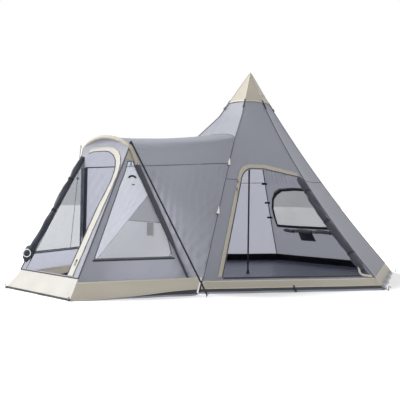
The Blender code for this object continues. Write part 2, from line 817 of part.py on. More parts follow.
def add_porch_skirts(materials):
    skirt = materials["skirt"]
    for name, hand in (("near", -1), ("far", 1)):
        corner = "near_front" if hand < 0 else "far_front"

        def surface(u, z, hand=hand, corner=corner):
            front = front_edge(z, hand) + Vector((0.004, 0, 0))
            if hand > 0:
                front += skirt_flare(z)
            rear = outward(ridge_point(corner, z), 0.03) + Vector((-0.09, hand * 0.05, 0))
            return front.lerp(rear, u)

        layers = thicken(surface, Vector((0, -hand, 0)))
        outline = rectangle(0, 1, 0, SIDE_SKIRT_TOP)
        add_sheet(f"skirt_porch_{name}", outline, layers, skirt, across=(0.5,))

    def front(u, z):
        return front_edge(z, -1).lerp(front_edge(z, 1) + skirt_flare(z), u)

    layers = thicken(front, Vector((1, 0, 0)), 0.003)
    outline = rectangle(0.003, 0.997, 0, FRONT_SKIRT_TOP - 0.002)
    add_sheet("skirt_porch_front", outline, layers, skirt, across=(0.5,), up=(SIDE_SKIRT_TOP,))


def add_hoop(materials):
    """One pole in three pieces: two legs with spigots, and the arch that slides over them."""
    pole = materials["dark_metal"]
    ends = {}
    for name, hand in (("near", -1), ("far", 1)):
        top = leg_point(HOOP_JOINT, hand)
        upwards = (top - leg_point(0, hand)).normalized()
        path = [leg_point(0.029, hand), top, top + upwards * 0.0002, top + upwards * 0.07]
        outer = [HOOP_RADIUS, HOOP_RADIUS, HOOP_SPIGOT, HOOP_SPIGOT]
        add_tube(f"hoop_leg_{name}", path, outer, [HOOP_SPIGOT - 0.001] * 4, pole, sides=10)
        add_hoop_foot(f"hoop_foot_{name}", hand, materials["plastic"])
        ends[hand] = top + upwards * 0.001
    arch = arch_path(3)
    path = [ends[-1], *arch, ends[1]]
    count = len(path)
    add_tube("hoop_arch", path, [HOOP_RADIUS] * count, [HOOP_BORE] * count, pole, sides=10)
    bore, outer = [SLEEVE_BORE] * (count - 2), [SLEEVE_RADIUS] * (count - 2)
    add_tube("hoop_sleeve", arch, outer, bore, materials["trim"], sides=10)


def add_hoop_foot(name, hand, material):
    """A round plastic pad on the ground, with the pole's end standing on its crown."""
    base = leg_point(0, hand)
    profile = [(0, 0.0), (0.026, 0.0), (0.026, 0.006), (0.018, 0.016), (0.012, 0.023), (0, 0.024)]
    add_turned(name, profile, material, sides=16, centre=(base.x, base.y, 0))


def add_porch_groundsheet(materials):
    corners = [(-3.47, -0.69), (-2.18, -1.09), (-2.18, 1.09), (-3.44, 0.54)]

    def top(x, y):
        return Vector((x, y, FLOOR_THICKNESS))

    def bottom(x, y):
        return Vector((x, y, 0.0))

    add_sheet("porch_groundsheet", corners, (top, bottom), materials["groundsheet"])


# ---------------------------------------------------------------- guy straps and pegs


def mirrored(point, hand):
    return Vector((point.x, -hand * point.y, point.z))


def box_along(name, centre, along, across, size, material, slot=None, origin=None, bevel=0.0):
    """A block of (length, width, height) along a direction, with an optional slot through its length."""
    along = along.normalized()
    across = (across - along * across.dot(along)).normalized()
    normal = along.cross(across)
    length, width, height = size
    shape = bmesh.new()

    def loop(place, half_width, half_height):
        signs = ((-1, -1), (1, -1), (1, 1), (-1, 1))
        middle = centre + along * place
        return [shape.verts.new(middle + across * half_width * a + normal * half_height * b) for a, b in signs]

    ends = [loop(-length / 2, width / 2, height / 2), loop(length / 2, width / 2, height / 2)]
    if slot:
        ends += [loop(length / 2, slot[0] / 2, slot[1] / 2), loop(-length / 2, slot[0] / 2, slot[1] / 2)]
        pairs = list(zip(ends, ends[1:] + ends[:1]))
    else:
        pairs = [(ends[0], ends[1])]
        shape.faces.new(ends[0])
        shape.faces.new(ends[1])
    for low, high in pairs:
        for i in range(4):
            j = (i + 1) % 4
            shape.faces.new((low[i], low[j], high[j], high[i]))
    obj = add_mesh(name, shape, material)
    if origin is not None:
        for vert in obj.data.vertices:
            vert.co -= origin
        obj.location = origin
    if bevel:
        modifier = obj.modifiers.new("Bevel", "BEVEL")
        modifier.width = bevel
        modifier.segments = 2
    return obj


def add_guys(materials):
    for name, hand in (("near", -1), ("far", 1)):
        top = GUY_TOPS[hand]
        peg = mirrored(GUY_PEG, hand)
        foot = peg + Vector((0, 0, 0.035)) + (top - peg).normalized() * 0.012
        along = foot - top
        across = Vector((0, 0, 1)).cross(along)
        strap_size = (along.length, GUY_WIDTH, GUY_THICKNESS)
        box_along(f"guy_strap_{name}", (top + foot) / 2, along, across, strap_size, materials["webbing"])
        place = top.lerp(foot, RUNNER_AT)
        box_along(
            f"guy_runner_{name}",
            place,
            along,
            across,
            (0.026, 0.034, 0.012),
            materials["plastic"],
            slot=(0.0235, 0.0055),
            origin=place,
            bevel=0.0012,
        )
        add_peg(f"guy_peg_{name}", peg, hand, materials["steel"])


def add_peg(name, place, hand, material):
    """The part of a round-wire peg above the ground: a straight shaft bent over at the top."""
    height, hook = PEG_HEIGHT, 0.013
    path = [Vector((0, 0, 0)), Vector((0, 0, height - hook))]
    for i in range(1, 6):
        angle = math.radians(180 * i / 5)
        across = hand * hook * (1 - math.cos(angle))
        path.append(Vector((0, across, height - hook + hook * math.sin(angle))))
    path.append(path[-1] - Vector((0, 0, 0.008)))
    add_rod(name, [place + p for p in path], PEG_RADIUS, material, sides=8)


def add_corner_pegs(materials):
    steel = materials["steel"]
    for corner in ("near_middle", "near_rear", "far_rear", "far_middle"):
        place = outward(ridge_point(corner, 0), CORNER_PEG_REACH)
        hand = 1 if place.y > 0 else -1
        add_peg(f"peg_{corner}", place, hand, steel)
    add_peg("peg_porch_near", front_edge(0, -1) + Vector((-0.04, -0.035, 0)), -1, steel)
    add_peg("peg_porch_far", front_edge(0, 1) + Vector((-0.04, 0.035, 0)), 1, steel)


# ---------------------------------------------------------------- zip sliders


def add_slider(prefix, place, along, face, materials):
    """A slider that runs on a zip, and its pull tab, hinged on the slider's face."""
    along = along.normalized()
    face = (face - along * face.dot(along)).normalized()
    across = along.cross(face)
    stand_off = 0.0095
    centre = place + face * stand_off
    plastic = materials["plastic"]
    body, tab = (0.022, 0.013, 0.007), (0.072, 0.011, 0.0035)
    box_along(f"{prefix}_slider", centre, along, across, body, plastic, origin=centre, bevel=0.0012)
    pivot = centre + face * 0.0062 + along * 0.004
    hanging = pivot - along * 0.034
    box_along(f"{prefix}_puller", hanging, along, across, tab, plastic, origin=pivot, bevel=0.001)


def add_sliders(materials):
    low, high = door_edge_point(ZIP_LOW), door_edge_point(ZIP_HIGH)
    place = low.lerp(high, (ZIP_PARKED - ZIP_LOW) / (ZIP_HIGH - ZIP_LOW))
    angle = math.radians(240)
    add_slider("side_door", place, high - low, Vector((math.cos(angle), math.sin(angle), 0.4)), materials)
    low, high = front_zip_point(0.32), front_zip_point(1.2)
    add_slider("front_door", low.lerp(high, 0.1), high - low, Vector((-1, 0, 0.4)), materials)


# ---------------------------------------------------------------- the whole tent


def make_materials():
    return {
        "cloth": colour_material("canopy_cloth", (0.27, 0.29, 0.34), 0.8),
        "dark_cloth": colour_material("rolled_cloth", (0.10, 0.11, 0.15), 0.85),
        "light_cloth": colour_material("inner_cloth", (0.75, 0.76, 0.78), 0.85),
        "trim": colour_material("trim_cloth", (0.62, 0.56, 0.45), 0.85),
        "skirt": colour_material("skirt_cloth", (0.60, 0.54, 0.43), 0.85),
        "groundsheet": colour_material("groundsheet_cloth", (0.03, 0.035, 0.05), 0.6),
        "clear": colour_material("clear_window", (0.85, 0.88, 0.9), 0.1, alpha=0.3),
        "steel": colour_material("pole_steel", (0.10, 0.11, 0.13), 0.4, metallic=0.8),
        "dark_metal": colour_material("hoop_tube", (0.09, 0.10, 0.12), 0.5, metallic=0.5),
        "plastic": colour_material("black_plastic", (0.02, 0.02, 0.025), 0.5),
        "webbing": colour_material("strap_webbing", (0.03, 0.035, 0.05), 0.8),
    }


def build_tent():
    materials = make_materials()
    add_canopy(materials)
    add_skirts(materials)
    add_peak_cap(materials)
    add_inner_groundsheet(materials)
    add_centre_pole(materials)
    add_side_door(materials)
    add_rear_window(materials)
    add_porch_roof(materials)
    add_porch_sides(materials)
    add_front_wall(materials)
    add_porch_skirts(materials)
    add_porch_groundsheet(materials)
    add_hoop(materials)
    add_guys(materials)
    add_corner_pegs(materials)
    add_sliders(materials)


for old in list(bpy.data.objects):
    bpy.data.objects.remove(old, do_unlink=True)

tent_axis = bpy.data.objects.new("tent_axis", None)
tent_axis.location = (AXIS_X, 0, 0)
bpy.context.collection.objects.link(tent_axis)
build_tent()
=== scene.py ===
"""Looks of the teepee tent: cloth, seams, zips, webbing, clear windows and ground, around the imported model.

Everything is in metres. The geometry functions use the tent's own coordinates, with the centre pole at
x = y = 0 and the porch towards -X, and finish_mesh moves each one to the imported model's frame.
"""

import math

import bmesh
import bpy
from mathutils import Matrix, Vector, noise


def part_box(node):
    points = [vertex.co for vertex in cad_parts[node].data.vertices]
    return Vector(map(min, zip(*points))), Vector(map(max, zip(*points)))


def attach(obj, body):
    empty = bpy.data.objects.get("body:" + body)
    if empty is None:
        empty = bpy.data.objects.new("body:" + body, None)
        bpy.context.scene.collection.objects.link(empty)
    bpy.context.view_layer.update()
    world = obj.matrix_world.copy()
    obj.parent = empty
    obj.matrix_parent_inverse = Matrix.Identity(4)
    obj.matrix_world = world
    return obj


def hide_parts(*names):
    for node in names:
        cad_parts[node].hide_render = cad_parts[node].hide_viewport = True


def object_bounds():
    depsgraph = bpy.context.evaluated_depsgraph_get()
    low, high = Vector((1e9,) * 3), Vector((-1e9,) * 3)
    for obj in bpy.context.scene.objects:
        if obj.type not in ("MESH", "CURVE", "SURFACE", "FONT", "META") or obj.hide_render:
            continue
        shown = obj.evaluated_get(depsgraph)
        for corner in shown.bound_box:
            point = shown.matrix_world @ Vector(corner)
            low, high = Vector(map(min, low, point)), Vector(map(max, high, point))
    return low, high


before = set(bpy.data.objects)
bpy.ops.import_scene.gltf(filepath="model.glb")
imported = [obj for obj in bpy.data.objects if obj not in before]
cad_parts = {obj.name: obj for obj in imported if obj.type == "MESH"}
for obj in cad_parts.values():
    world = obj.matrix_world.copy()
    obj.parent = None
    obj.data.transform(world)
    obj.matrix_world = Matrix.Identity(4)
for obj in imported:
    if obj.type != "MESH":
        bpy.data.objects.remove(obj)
cad_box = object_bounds()

pole_low, pole_high = (Vector(corner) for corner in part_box("centre_pole_lower"))
AXIS = Vector(((pole_low.x + pole_high.x) / 2, (pole_low.y + pole_high.y) / 2, 0))

HEIGHT = 3.0
CORNER_RADIUS = 2.36
CORNERS = {
    "near_front": 210,
    "near_middle": 270,
    "near_rear": 330,
    "far_rear": 30,
    "far_middle": 90,
    "far_front": 150,
}
RIDGE_SAG = {"near_middle": 0.22, "near_rear": 0.13, "far_rear": 0.14, "far_middle": 0.13}
PORCH_RIDGE_PULL = [(0.0, 0.06), (1.88, 0.06), (2.32, -0.06), (HEIGHT, 0.0)]
SKIRT_TOP = 0.135
CAP_BOTTOM = 2.535
CAP_TIP = 3.015
DOOR_SILL = 0.18
DOOR_CORNER = 0.13
DOOR_TOP = 1.53
DOOR_FRONT_MARGIN = 0.245
DOOR_REAR_MARGIN = 0.05
DOOR_TRIM_WIDTH = 0.065
WINDOW_BOTTOM = 0.68
WINDOW_TOP = 1.28
WINDOW_HALF = 0.76
WINDOW_FRAME = 0.035
INNER_DOOR_TOP = 0.79
HOOP_FOOT = Vector((-2.15, -1.20, 0.0))
HOOP_SHOULDER = Vector((-2.545, -0.575, 1.50))
HOOP_ARCH = [
    (0.575, 1.50),
    (0.535, 1.64),
    (0.485, 1.725),
    (0.395, 1.783),
    (0.297, 1.818),
    (0.163, 1.848),
    (0.0, 1.862),
]
SLEEVE_RADIUS = 0.021
HOOP_CLEAR = 0.026
ROOF_REAR = [
    (0.585, 1.59),
    (0.51, 1.78),
    (0.473, 1.874),
    (0.42, 1.955),
    (0.32, 2.0),
    (0.17, 2.025),
    (0.0, 2.032),
]
ROOF_SAG = 0.035
PORCH_SEAM = (1.50, 1.59)
FRONT_TOP_NEAR = Vector((-2.60, -0.50, 1.75))
FRONT_TOP_FAR = Vector((-2.60, 0.44, 1.75))
FRONT_BASE_NEAR = Vector((-3.60, -0.78, 0.0))
FRONT_BASE_FAR = Vector((-3.60, 0.53, 0.0))
FRONT_SKIRT_TOP = 0.23
FRONT_SKIRT_FLARE = 0.13
FRONT_BEND_START = 1.6
FRONT_BEND = 1.4
SIDE_SKIRT_TOP = 0.185
GUY_TOPS = {-1: Vector((-2.625, -0.555, 1.775)), 1: Vector((-2.625, 0.52, 1.775))}
GUY_PEG = Vector((-2.21, -1.45, 0.0))
TUB_TOP = 0.13
FRONT = ("far_front", "near_front")
SIDE_DOOR = ("near_front", "near_middle")
NEAR_REAR = ("near_middle", "near_rear")
REAR = ("near_rear", "far_rear")
FAR_REAR = ("far_rear", "far_middle")
FAR_FRONT = ("far_middle", "far_front")
HANDS = (("near", -1), ("far", 1))
DOOR_HARDWARE = ("side_door_slider", "side_door_puller", "front_door_slider", "front_door_puller")
UP = Vector((0, 0, 1))
FRONT_FACE = Vector((-1, 0, 0.4)).normalized()

# Grid of the canopy's sides, and the UV sizes for one unit of u and of z
ACROSS = 44
PANEL_ROWS = 64
PANEL_UV = (CORNER_RADIUS, 1.2)
GUSSET_UV = (1.2, 1.2)

# Trim that lies on the cloth
PLEATS = {REAR: 0.010}
CROSS_SEAM = 1.38
CAP_LIFT = 0.006
CANOPY_TOP = CAP_BOTTOM + 0.12
SKIRT_LIFT = 0.055
FLOOR_RINGS = 16
FLOOR_Z = 0.0022
POCKET_CORNERS = ((0.46, 0.775), (0.32, 0.775), (0.19, 0.61), (0.325, 0.61))
ROOF_OVERLAP = 0.014
GUSSET_EDGE = 1.69
WINDOW_EXTRA = 0.028
SEAM_ANGLE = 4.4
FRONT_TRIM_WIDTH = 0.062
TRIM_SPREAD = 2.4
PORCH_HEM_RISE = 0.062

WORLD_STRENGTH = 1.0
KEY_STRENGTH = 5.0

CAMERA_PLACE = Vector((-7.80, -7.364, 1.143))
CAMERA_TURN = (0.7462, -0.00495, 0.01308)
CAMERA_LENS = 64.55
SENSOR = 36.0


def lerp(a, b, t):
    return a + (b - a) * t


def stepped(table, x):
    """Straight-line interpolation in a short list of (x, value) pairs."""
    for (x0, y0), (x1, y1) in zip(table, table[1:]):
        if x <= x1:
            return lerp(y0, y1, (x - x0) / (x1 - x0))
    return table[-1][1]


def ridge_curve(corner, z):
    """A corner ridge's distance from the axis. Free ridges hang in, and the porch pulls its two out."""
    straight = CORNER_RADIUS * (1 - z / HEIGHT)
    if corner in RIDGE_SAG:
        t = z / HEIGHT
        return straight - RIDGE_SAG[corner] * 4 * t * (1 - t)
    return straight + stepped(PORCH_RIDGE_PULL, z)


def outward(point, distance):
    """Moves a point away from the tent's axis, at its own height."""
    radius = math.hypot(point.x, point.y)
    factor = 1 + distance / radius
    return Vector((point.x * factor, point.y * factor, point.z))


def panel_width(side, z):
    return (panel_point(side, 1, z) - panel_point(side, 0, z)).length


def steps(start, end, count):
    return [lerp(start, end, i / count) for i in range(count + 1)]


def rectangle(u0, u1, v0, v1):
    return [(u0, v0), (u1, v0), (u1, v1), (u0, v1)]


def smooth_curve(points, per_span):
    """Points of a Catmull-Rom curve through the given ones."""
    ends = [points[0] * 2 - points[1], *points, points[-1] * 2 - points[-2]]
    result = []
    for a, b, c, d in zip(ends, ends[1:], ends[2:], ends[3:]):
        for i in range(per_span):
            t = i / per_span
            square, cube = a * 2 - b * 5 + c * 4 - d, b * 3 - a - c * 3 + d
            result.append(0.5 * (b * 2 + (c - a) * t + square * t * t + cube * t**3))
    return result + [points[-1]]


def side_door_outline(grow):
    """The side door's opening as (u, z), made larger by grow, with the low rear corner against the rear ridge."""

    def at(distance, z):
        return (distance / panel_width(SIDE_DOOR, z), z)

    front = DOOR_FRONT_MARGIN - grow
    top = DOOR_TOP + grow
    sill = DOOR_SILL - min(grow, 0)
    radius = DOOR_CORNER
    points = [at(front, z) for z in steps(sill, top - radius, 6)]
    for i in range(1, 5):
        angle = math.radians(90 * i / 4)
        points.append(at(front + radius * (1 - math.cos(angle)), top - radius * (1 - math.sin(angle))))
    rear_margin = DOOR_REAR_MARGIN - min(grow, 0)
    points.append(at(0.56, top - 0.002))
    points.append(at(0.8, top - 0.045))
    rear_top = top - 0.115
    for z in steps(rear_top, sill, 7):
        points.append(at(panel_width(SIDE_DOOR, z) - rear_margin, z))
    return points


def trim_outline(opening, width, keep):
    """A band of the given width outside the part of an opening's outline that keep chooses."""
    inner = [opening(0.0015)[i] for i in keep]
    outer = [opening(width)[i] for i in keep]
    return inner + outer[::-1]


def rear_window_outline(grow):
    half = WINDOW_HALF + grow
    low, high = WINDOW_BOTTOM - grow, WINDOW_TOP + grow
    points = [(-half, low), (0.0, low), (half, low), (half - 0.035, 0.86)]
    bend = [(half - 0.07, 0.98), (half - 0.17, 1.12), (half - 0.31, high - 0.07), (half - 0.46, high - 0.015)]
    points += bend + [(0.0, high)] + [(-s, z) for s, z in reversed(bend)] + [(-half + 0.035, 0.86)]
    return [(0.5 + s / CORNER_RADIUS / (1 - z / HEIGHT), z) for s, z in points]


def hoop_x(z):
    return HOOP_FOOT.x + (HOOP_SHOULDER.x - HOOP_FOOT.x) * z / HOOP_SHOULDER.z


def leg_point(z, hand):
    """The pole's centre on one leg. hand is -1 on the near side and 1 on the far side."""
    point = HOOP_FOOT.lerp(HOOP_SHOULDER, z / HOOP_SHOULDER.z)
    return Vector((point.x, -hand * point.y, z))


def arch_path(per_span):
    """The pole's centre from the near shoulder over the top to the far shoulder."""
    near = [Vector((hoop_x(z), -y, z)) for y, z in HOOP_ARCH]
    far = [Vector((p.x, -p.y, p.z)) for p in reversed(near[:-1])]
    return smooth_curve(near + far, per_span)


def seam_point(z, hand):
    """The cloth seam beside a leg, just inside the pole."""
    point = leg_point(min(z, HOOP_SHOULDER.z), hand)
    if z > HOOP_SHOULDER.z:
        table = [(height, y) for y, height in HOOP_ARCH]
        point = Vector((hoop_x(z), hand * stepped(table, z), z))
    return point + Vector((0.008, -hand * HOOP_CLEAR, 0.0))


def front_edge(z, hand):
    """The seam between the front wall and a side gusset."""
    top, base = (FRONT_TOP_NEAR, FRONT_BASE_NEAR) if hand < 0 else (FRONT_TOP_FAR, FRONT_BASE_FAR)
    return base.lerp(top, z / top.z)


def along_curve(curve, u):
    """A point of a curve given as a list of points, u from 0 to 1."""
    place = u * (len(curve) - 1)
    i = min(int(place), len(curve) - 2)
    return curve[i].lerp(curve[i + 1], place - i)


def gusset_surface(hand):
    """The triangle between the front wall's edge (u = 0) and a hoop leg (u = 1), at height z."""

    def surface(u, z):
        return front_edge(z, hand).lerp(seam_point(z, hand) - Vector((0.004, 0, 0)), u)

    return surface


def gusset_window(hand, grow):
    """The clear triangle of a gusset as (u, z)."""
    surface = gusset_surface(hand)
    low, high = 0.46 - grow, 1.52 + grow
    width = (surface(1, low) - surface(0, low)).length
    front_foot = Vector(((0.125 - grow) / width, low))
    rear_foot = Vector((1 - (0.1 - grow) / width, low))
    rear_knee = Vector((1 - (0.06 - grow) / width, low + 0.22))
    grow_across = grow / 0.18
    apex_front, apex_rear = Vector((0.5 - grow_across, high)), Vector((0.68 + grow_across, high))
    front = [edge_between(surface, front_foot, apex_front, i / 4) for i in range(5)]
    rear = [edge_between(surface, apex_rear, rear_knee, i / 4) for i in range(5)]
    return front + rear + [tuple(rear_foot)]


def edge_between(surface, first, second, t):
    """A point of the straight line in space between two points of a surface, as its (u, z)."""
    start, end = surface(*first), surface(*second)
    point = start.lerp(end, t)
    left, right = surface(0, point.z), surface(1, point.z)
    return ((point - left).dot(right - left) / (right - left).length_squared, point.z)


def front_top(y):
    """Height of the front wall's upper edge, below the sleeve, at a distance from the porch's middle."""
    table = [(y_arch, z) for y_arch, z in reversed(HOOP_ARCH)]
    return stepped(table, min(abs(y), 0.485)) - HOOP_CLEAR


def front_surface(y, z):
    """The porch's front wall: flat between its two slanted edges, and bent forward to the hoop near the top."""
    near, far = front_edge(z, -1), front_edge(z, 1)
    point = near.lerp(far, (y - near.y) / (far.y - near.y))
    bend = FRONT_BEND * max(0.0, z - FRONT_BEND_START) ** 2
    return Vector((point.x - bend, y, z))


def front_door_outline(grow):
    """The porch door's opening. Its near top corner is a wide arc, its far side runs beside the rolled door."""
    low, top = 0.245, 1.685
    near_low, near_high, far_low, far_high = -0.56, -0.49, 0.40, 0.33
    radius = 0.44
    points = []
    for i in range(5):
        points.append((lerp(near_low, near_high, i / 4) - grow, lerp(low, top - radius, i / 4)))
    for i in range(1, 7):
        angle = math.radians(90 * i / 6)
        along = (1 - math.cos(angle)) * radius
        rise = (math.sin(angle) - 1) * radius
        points.append((near_high - grow + along, top + grow * 0.8 + rise))
    points.append((0.2, top + grow * 0.8))
    points.append((far_high - 0.05, top - 0.02 + grow * 0.8))
    for i in range(5):
        points.append((lerp(far_high, far_low, i / 4) + min(grow, 0), lerp(top - 0.1, low, i / 4)))
    return points


def skirt_flare(z):
    """The far front corner of the skirt spreads towards the ground."""
    return Vector((0, FRONT_SKIRT_FLARE * max(0.0, 1 - z / SIDE_SKIRT_TOP), 0))


def mirrored(point, hand):
    return Vector((point.x, -hand * point.y, point.z))


def ridge_point(corner, z):
    angle = math.radians(CORNERS[corner])
    radius = ridge_curve(corner, z)
    return Vector((radius * math.cos(angle), radius * math.sin(angle), z))


def panel_point(side, u, z):
    first, second = side
    return ridge_point(first, z).lerp(ridge_point(second, z), u)


# ---------------------------------------------------------------- materials


class Nodes:
    """A short way to add and join shader nodes."""

    def __init__(self, name):
        self.material = bpy.data.materials.new(name)
        self.material.use_nodes = True
        self.tree = self.material.node_tree
        self.shader = self.tree.nodes["Principled BSDF"]
        self.output = self.tree.nodes["Material Output"]

    def add(self, kind, settings=(), **inputs):
        node = self.tree.nodes.new(kind)
        for key, value in settings:
            setattr(node, key, value)
        for key, value in inputs.items():
            self.feed(node.inputs[key.replace("_", " ")], value)
        return node

    def feed(self, socket, value):
        if isinstance(value, bpy.types.NodeSocket):
            self.tree.links.new(value, socket)
        else:
            socket.default_value = value

    def math(self, operation, a, b=0.0):
        node = self.tree.nodes.new("ShaderNodeMath")
        node.operation = operation
        self.feed(node.inputs[0], a)
        self.feed(node.inputs[1], b)
        return node.outputs[0]

    def mix(self, factor, a, b):
        node = self.tree.nodes.new("ShaderNodeMix")
        node.data_type = "RGBA"
        self.feed(node.inputs[0], factor)
        self.feed(node.inputs[6], a)
        self.feed(node.inputs[7], b)
        return node.outputs[2]

    def place(self):
        return self.add("ShaderNodeTexCoord").outputs["Object"]

    def uv(self):
        return self.add("ShaderNodeTexCoord").outputs["UV"]

    def noise(self, vector, scale, detail=3.0):
        return self.add("ShaderNodeTexNoise", Vector=vector, Scale=scale, Detail=detail).outputs["Fac"]

    def threads(self, vector, pitch):
        """Warp and weft at a pitch in metres, as one height."""
        scale = math.tau / 20 / pitch
        heights = []
        for direction in ("X", "Y"):
            settings = (("wave_type", "BANDS"), ("bands_direction", direction))
            heights.append(self.add("ShaderNodeTexWave", settings, Vector=vector, Scale=scale).outputs["Fac"])
        return self.math("MAXIMUM", *heights)

    def colour(self, factor, a, b):
        self.feed(self.shader.inputs["Base Color"], self.mix(factor, a, b))

    def rough(self, factor, gain, least):
        self.feed(self.shader.inputs["Roughness"], self.math("ADD", self.math("MULTIPLY", factor, gain), least))

    def show(self, share, first, second):
        """Shows a mix of two shaders, with this share of the second."""
        both = self.add("ShaderNodeMixShader", Fac=share)
        self.feed(both.inputs[1], first.outputs[0])
        self.feed(both.inputs[2], second.outputs[0])
        self.feed(self.output.inputs["Surface"], both.outputs[0])

    def bump(self, height, distance):
        node = self.add("ShaderNodeBump", Strength=1.0, Distance=distance, Height=height)
        self.feed(self.shader.inputs["Normal"], node.outputs[0])
        return node.outputs[0]


def shade(colour, factor):
    return (*(min(1.0, c * factor) for c in colour), 1.0)


def fabric(name, colour, roughness=0.78, sheen=0.15, through=0.0, pitch=0.0007, mottle=0.06, lift=0.0004, glow=1.9):
    """Woven cloth: threads and creases in the bump, a faint change of tone, and light from behind."""
    nodes = Nodes(name)
    place = nodes.place()
    tone = nodes.noise(place, 1.6, 4.0)
    fine = nodes.noise(place, 34.0, 5.0)
    blend = nodes.math("ADD", nodes.math("MULTIPLY", tone, 0.75), nodes.math("MULTIPLY", fine, 0.25))
    nodes.colour(blend, shade(colour, 1 - mottle), shade(colour, 1 + mottle))
    nodes.rough(fine, 0.14, roughness - 0.07)
    nodes.shader.inputs["Sheen Weight"].default_value = sheen
    nodes.shader.inputs["Sheen Roughness"].default_value = 0.5
    nodes.shader.inputs["Specular IOR Level"].default_value = 0.5
    weave = nodes.threads(nodes.uv(), pitch)
    crinkle = nodes.math("MULTIPLY", nodes.noise(place, 9.0, 5.0), 9.0)
    normal = nodes.bump(nodes.math("ADD", weave, crinkle), lift)
    if through:
        lit = nodes.mix(blend, shade(colour, (1 - mottle) * glow), shade(colour, (1 + mottle) * glow))
        light = nodes.add("ShaderNodeBsdfTranslucent", Color=lit, Normal=normal)
        nodes.show(through, nodes.shader, light)
    return nodes.material


def tape(name, colour, thread, rows=(0.2, 0.8), dash=0.012):
    """Sewn tape: ribs across it and two rows of stitches. UV runs along it in metres, and across it from 0 to 1."""
    nodes = Nodes(name)
    split = nodes.add("ShaderNodeSeparateXYZ", Vector=nodes.uv())
    along, across = split.outputs[0], split.outputs[1]
    stitched = 0.0
    for row in rows:
        near = nodes.math("LESS_THAN", nodes.math("ABSOLUTE", nodes.math("SUBTRACT", across, row)), 0.05)
        dashes = nodes.math("LESS_THAN", nodes.math("FRACT", nodes.math("DIVIDE", along, dash)), 0.62)
        stitched = nodes.math("MAXIMUM", stitched, nodes.math("MULTIPLY", near, dashes))
    tone = nodes.noise(nodes.place(), 12.0, 4.0)
    cloth = nodes.mix(tone, shade(colour, 0.9), shade(colour, 1.1))
    nodes.colour(stitched, cloth, (*thread, 1.0))
    nodes.rough(tone, 0.12, 0.74)
    ribs = nodes.math("SINE", nodes.math("MULTIPLY", along, math.tau / 0.0012))
    height = nodes.math("SUBTRACT", nodes.math("MULTIPLY", ribs, 0.3), stitched)
    nodes.bump(height, 0.0006)
    return nodes.material


def clear_film(name, share, dark, pale):
    """Thin flexible window: mostly see-through, with gloss, a haze between two tones and slow ripples. For the far and
    rear windows the two tones are darker, a painted shade.
    """
    nodes = Nodes(name)
    place = nodes.place()
    haze = nodes.noise(place, 3.0, 3.0)
    nodes.colour(haze, (*dark, 1), (*pale, 1))
    nodes.rough(haze, 0.1, 0.06)
    nodes.bump(nodes.noise(place, 5.0, 2.0), 0.01)
    see = nodes.add("ShaderNodeBsdfTransparent", Color=(0.93, 0.95, 0.96, 1))
    cover = nodes.math("ADD", nodes.math("MULTIPLY", haze, 0.10), share)
    nodes.show(cover, see, nodes.shader)
    return nodes.material


def metal(name, colour, roughness, metallic=1.0):
    """Drawn tube or wire, with fine lengthwise wear and a change in gloss."""
    nodes = Nodes(name)
    place = nodes.place()
    wear = nodes.noise(place, 55.0, 6.0)
    nodes.colour(wear, shade(colour, 0.8), shade(colour, 1.25))
    nodes.rough(wear, 0.2, roughness - 0.1)
    nodes.shader.inputs["Metallic"].default_value = metallic
    nodes.bump(wear, 0.0002)
    return nodes.material


def moulded(name, colour, roughness=0.45):
    """Moulded plastic with a fine spark-eroded grain."""
    nodes = Nodes(name)
    grain = nodes.noise(nodes.place(), 900.0, 2.0)
    tone = nodes.noise(nodes.place(), 20.0, 3.0)
    nodes.colour(tone, shade(colour, 0.85), shade(colour, 1.2))
    nodes.rough(tone, 0.12, roughness - 0.06)
    nodes.bump(grain, 0.0001)
    return nodes.material


def coated_sheet(name, colour, roughness, painted_sheen_gain=14.0):
    """Groundsheet: laminated tape fabric with broad creases and a satin coat. Where it lies flat, below 2 cm, it is
    paler: a painted sheen, the wall's colour raised many times over.
    """
    nodes = Nodes(name)
    place = nodes.place()
    tone = nodes.noise(place, 2.2, 5.0)
    wall = nodes.mix(tone, shade(colour, 0.75), shade(colour, 1.3))
    # painted sheen: the flat floor's colour is the wall's colour raised many times over, standing in for light off the
    # satin coat
    flat = nodes.mix(tone, shade(colour, 0.75 * painted_sheen_gain), shade(colour, 1.3 * painted_sheen_gain))
    height = nodes.add("ShaderNodeSeparateXYZ", Vector=place).outputs[2]
    nodes.colour(nodes.math("LESS_THAN", height, 0.02), wall, flat)
    nodes.rough(tone, 0.2, roughness - 0.1)
    weave = nodes.threads(place, 0.0025)
    height = nodes.math("ADD", nodes.math("MULTIPLY", weave, 0.2), nodes.math("MULTIPLY", tone, 14.0))
    nodes.bump(height, 0.0009)
    return nodes.material


GREY = (0.255, 0.262, 0.300)
BEIGE = (0.37, 0.34, 0.285)
DARK = (0.012, 0.013, 0.017)

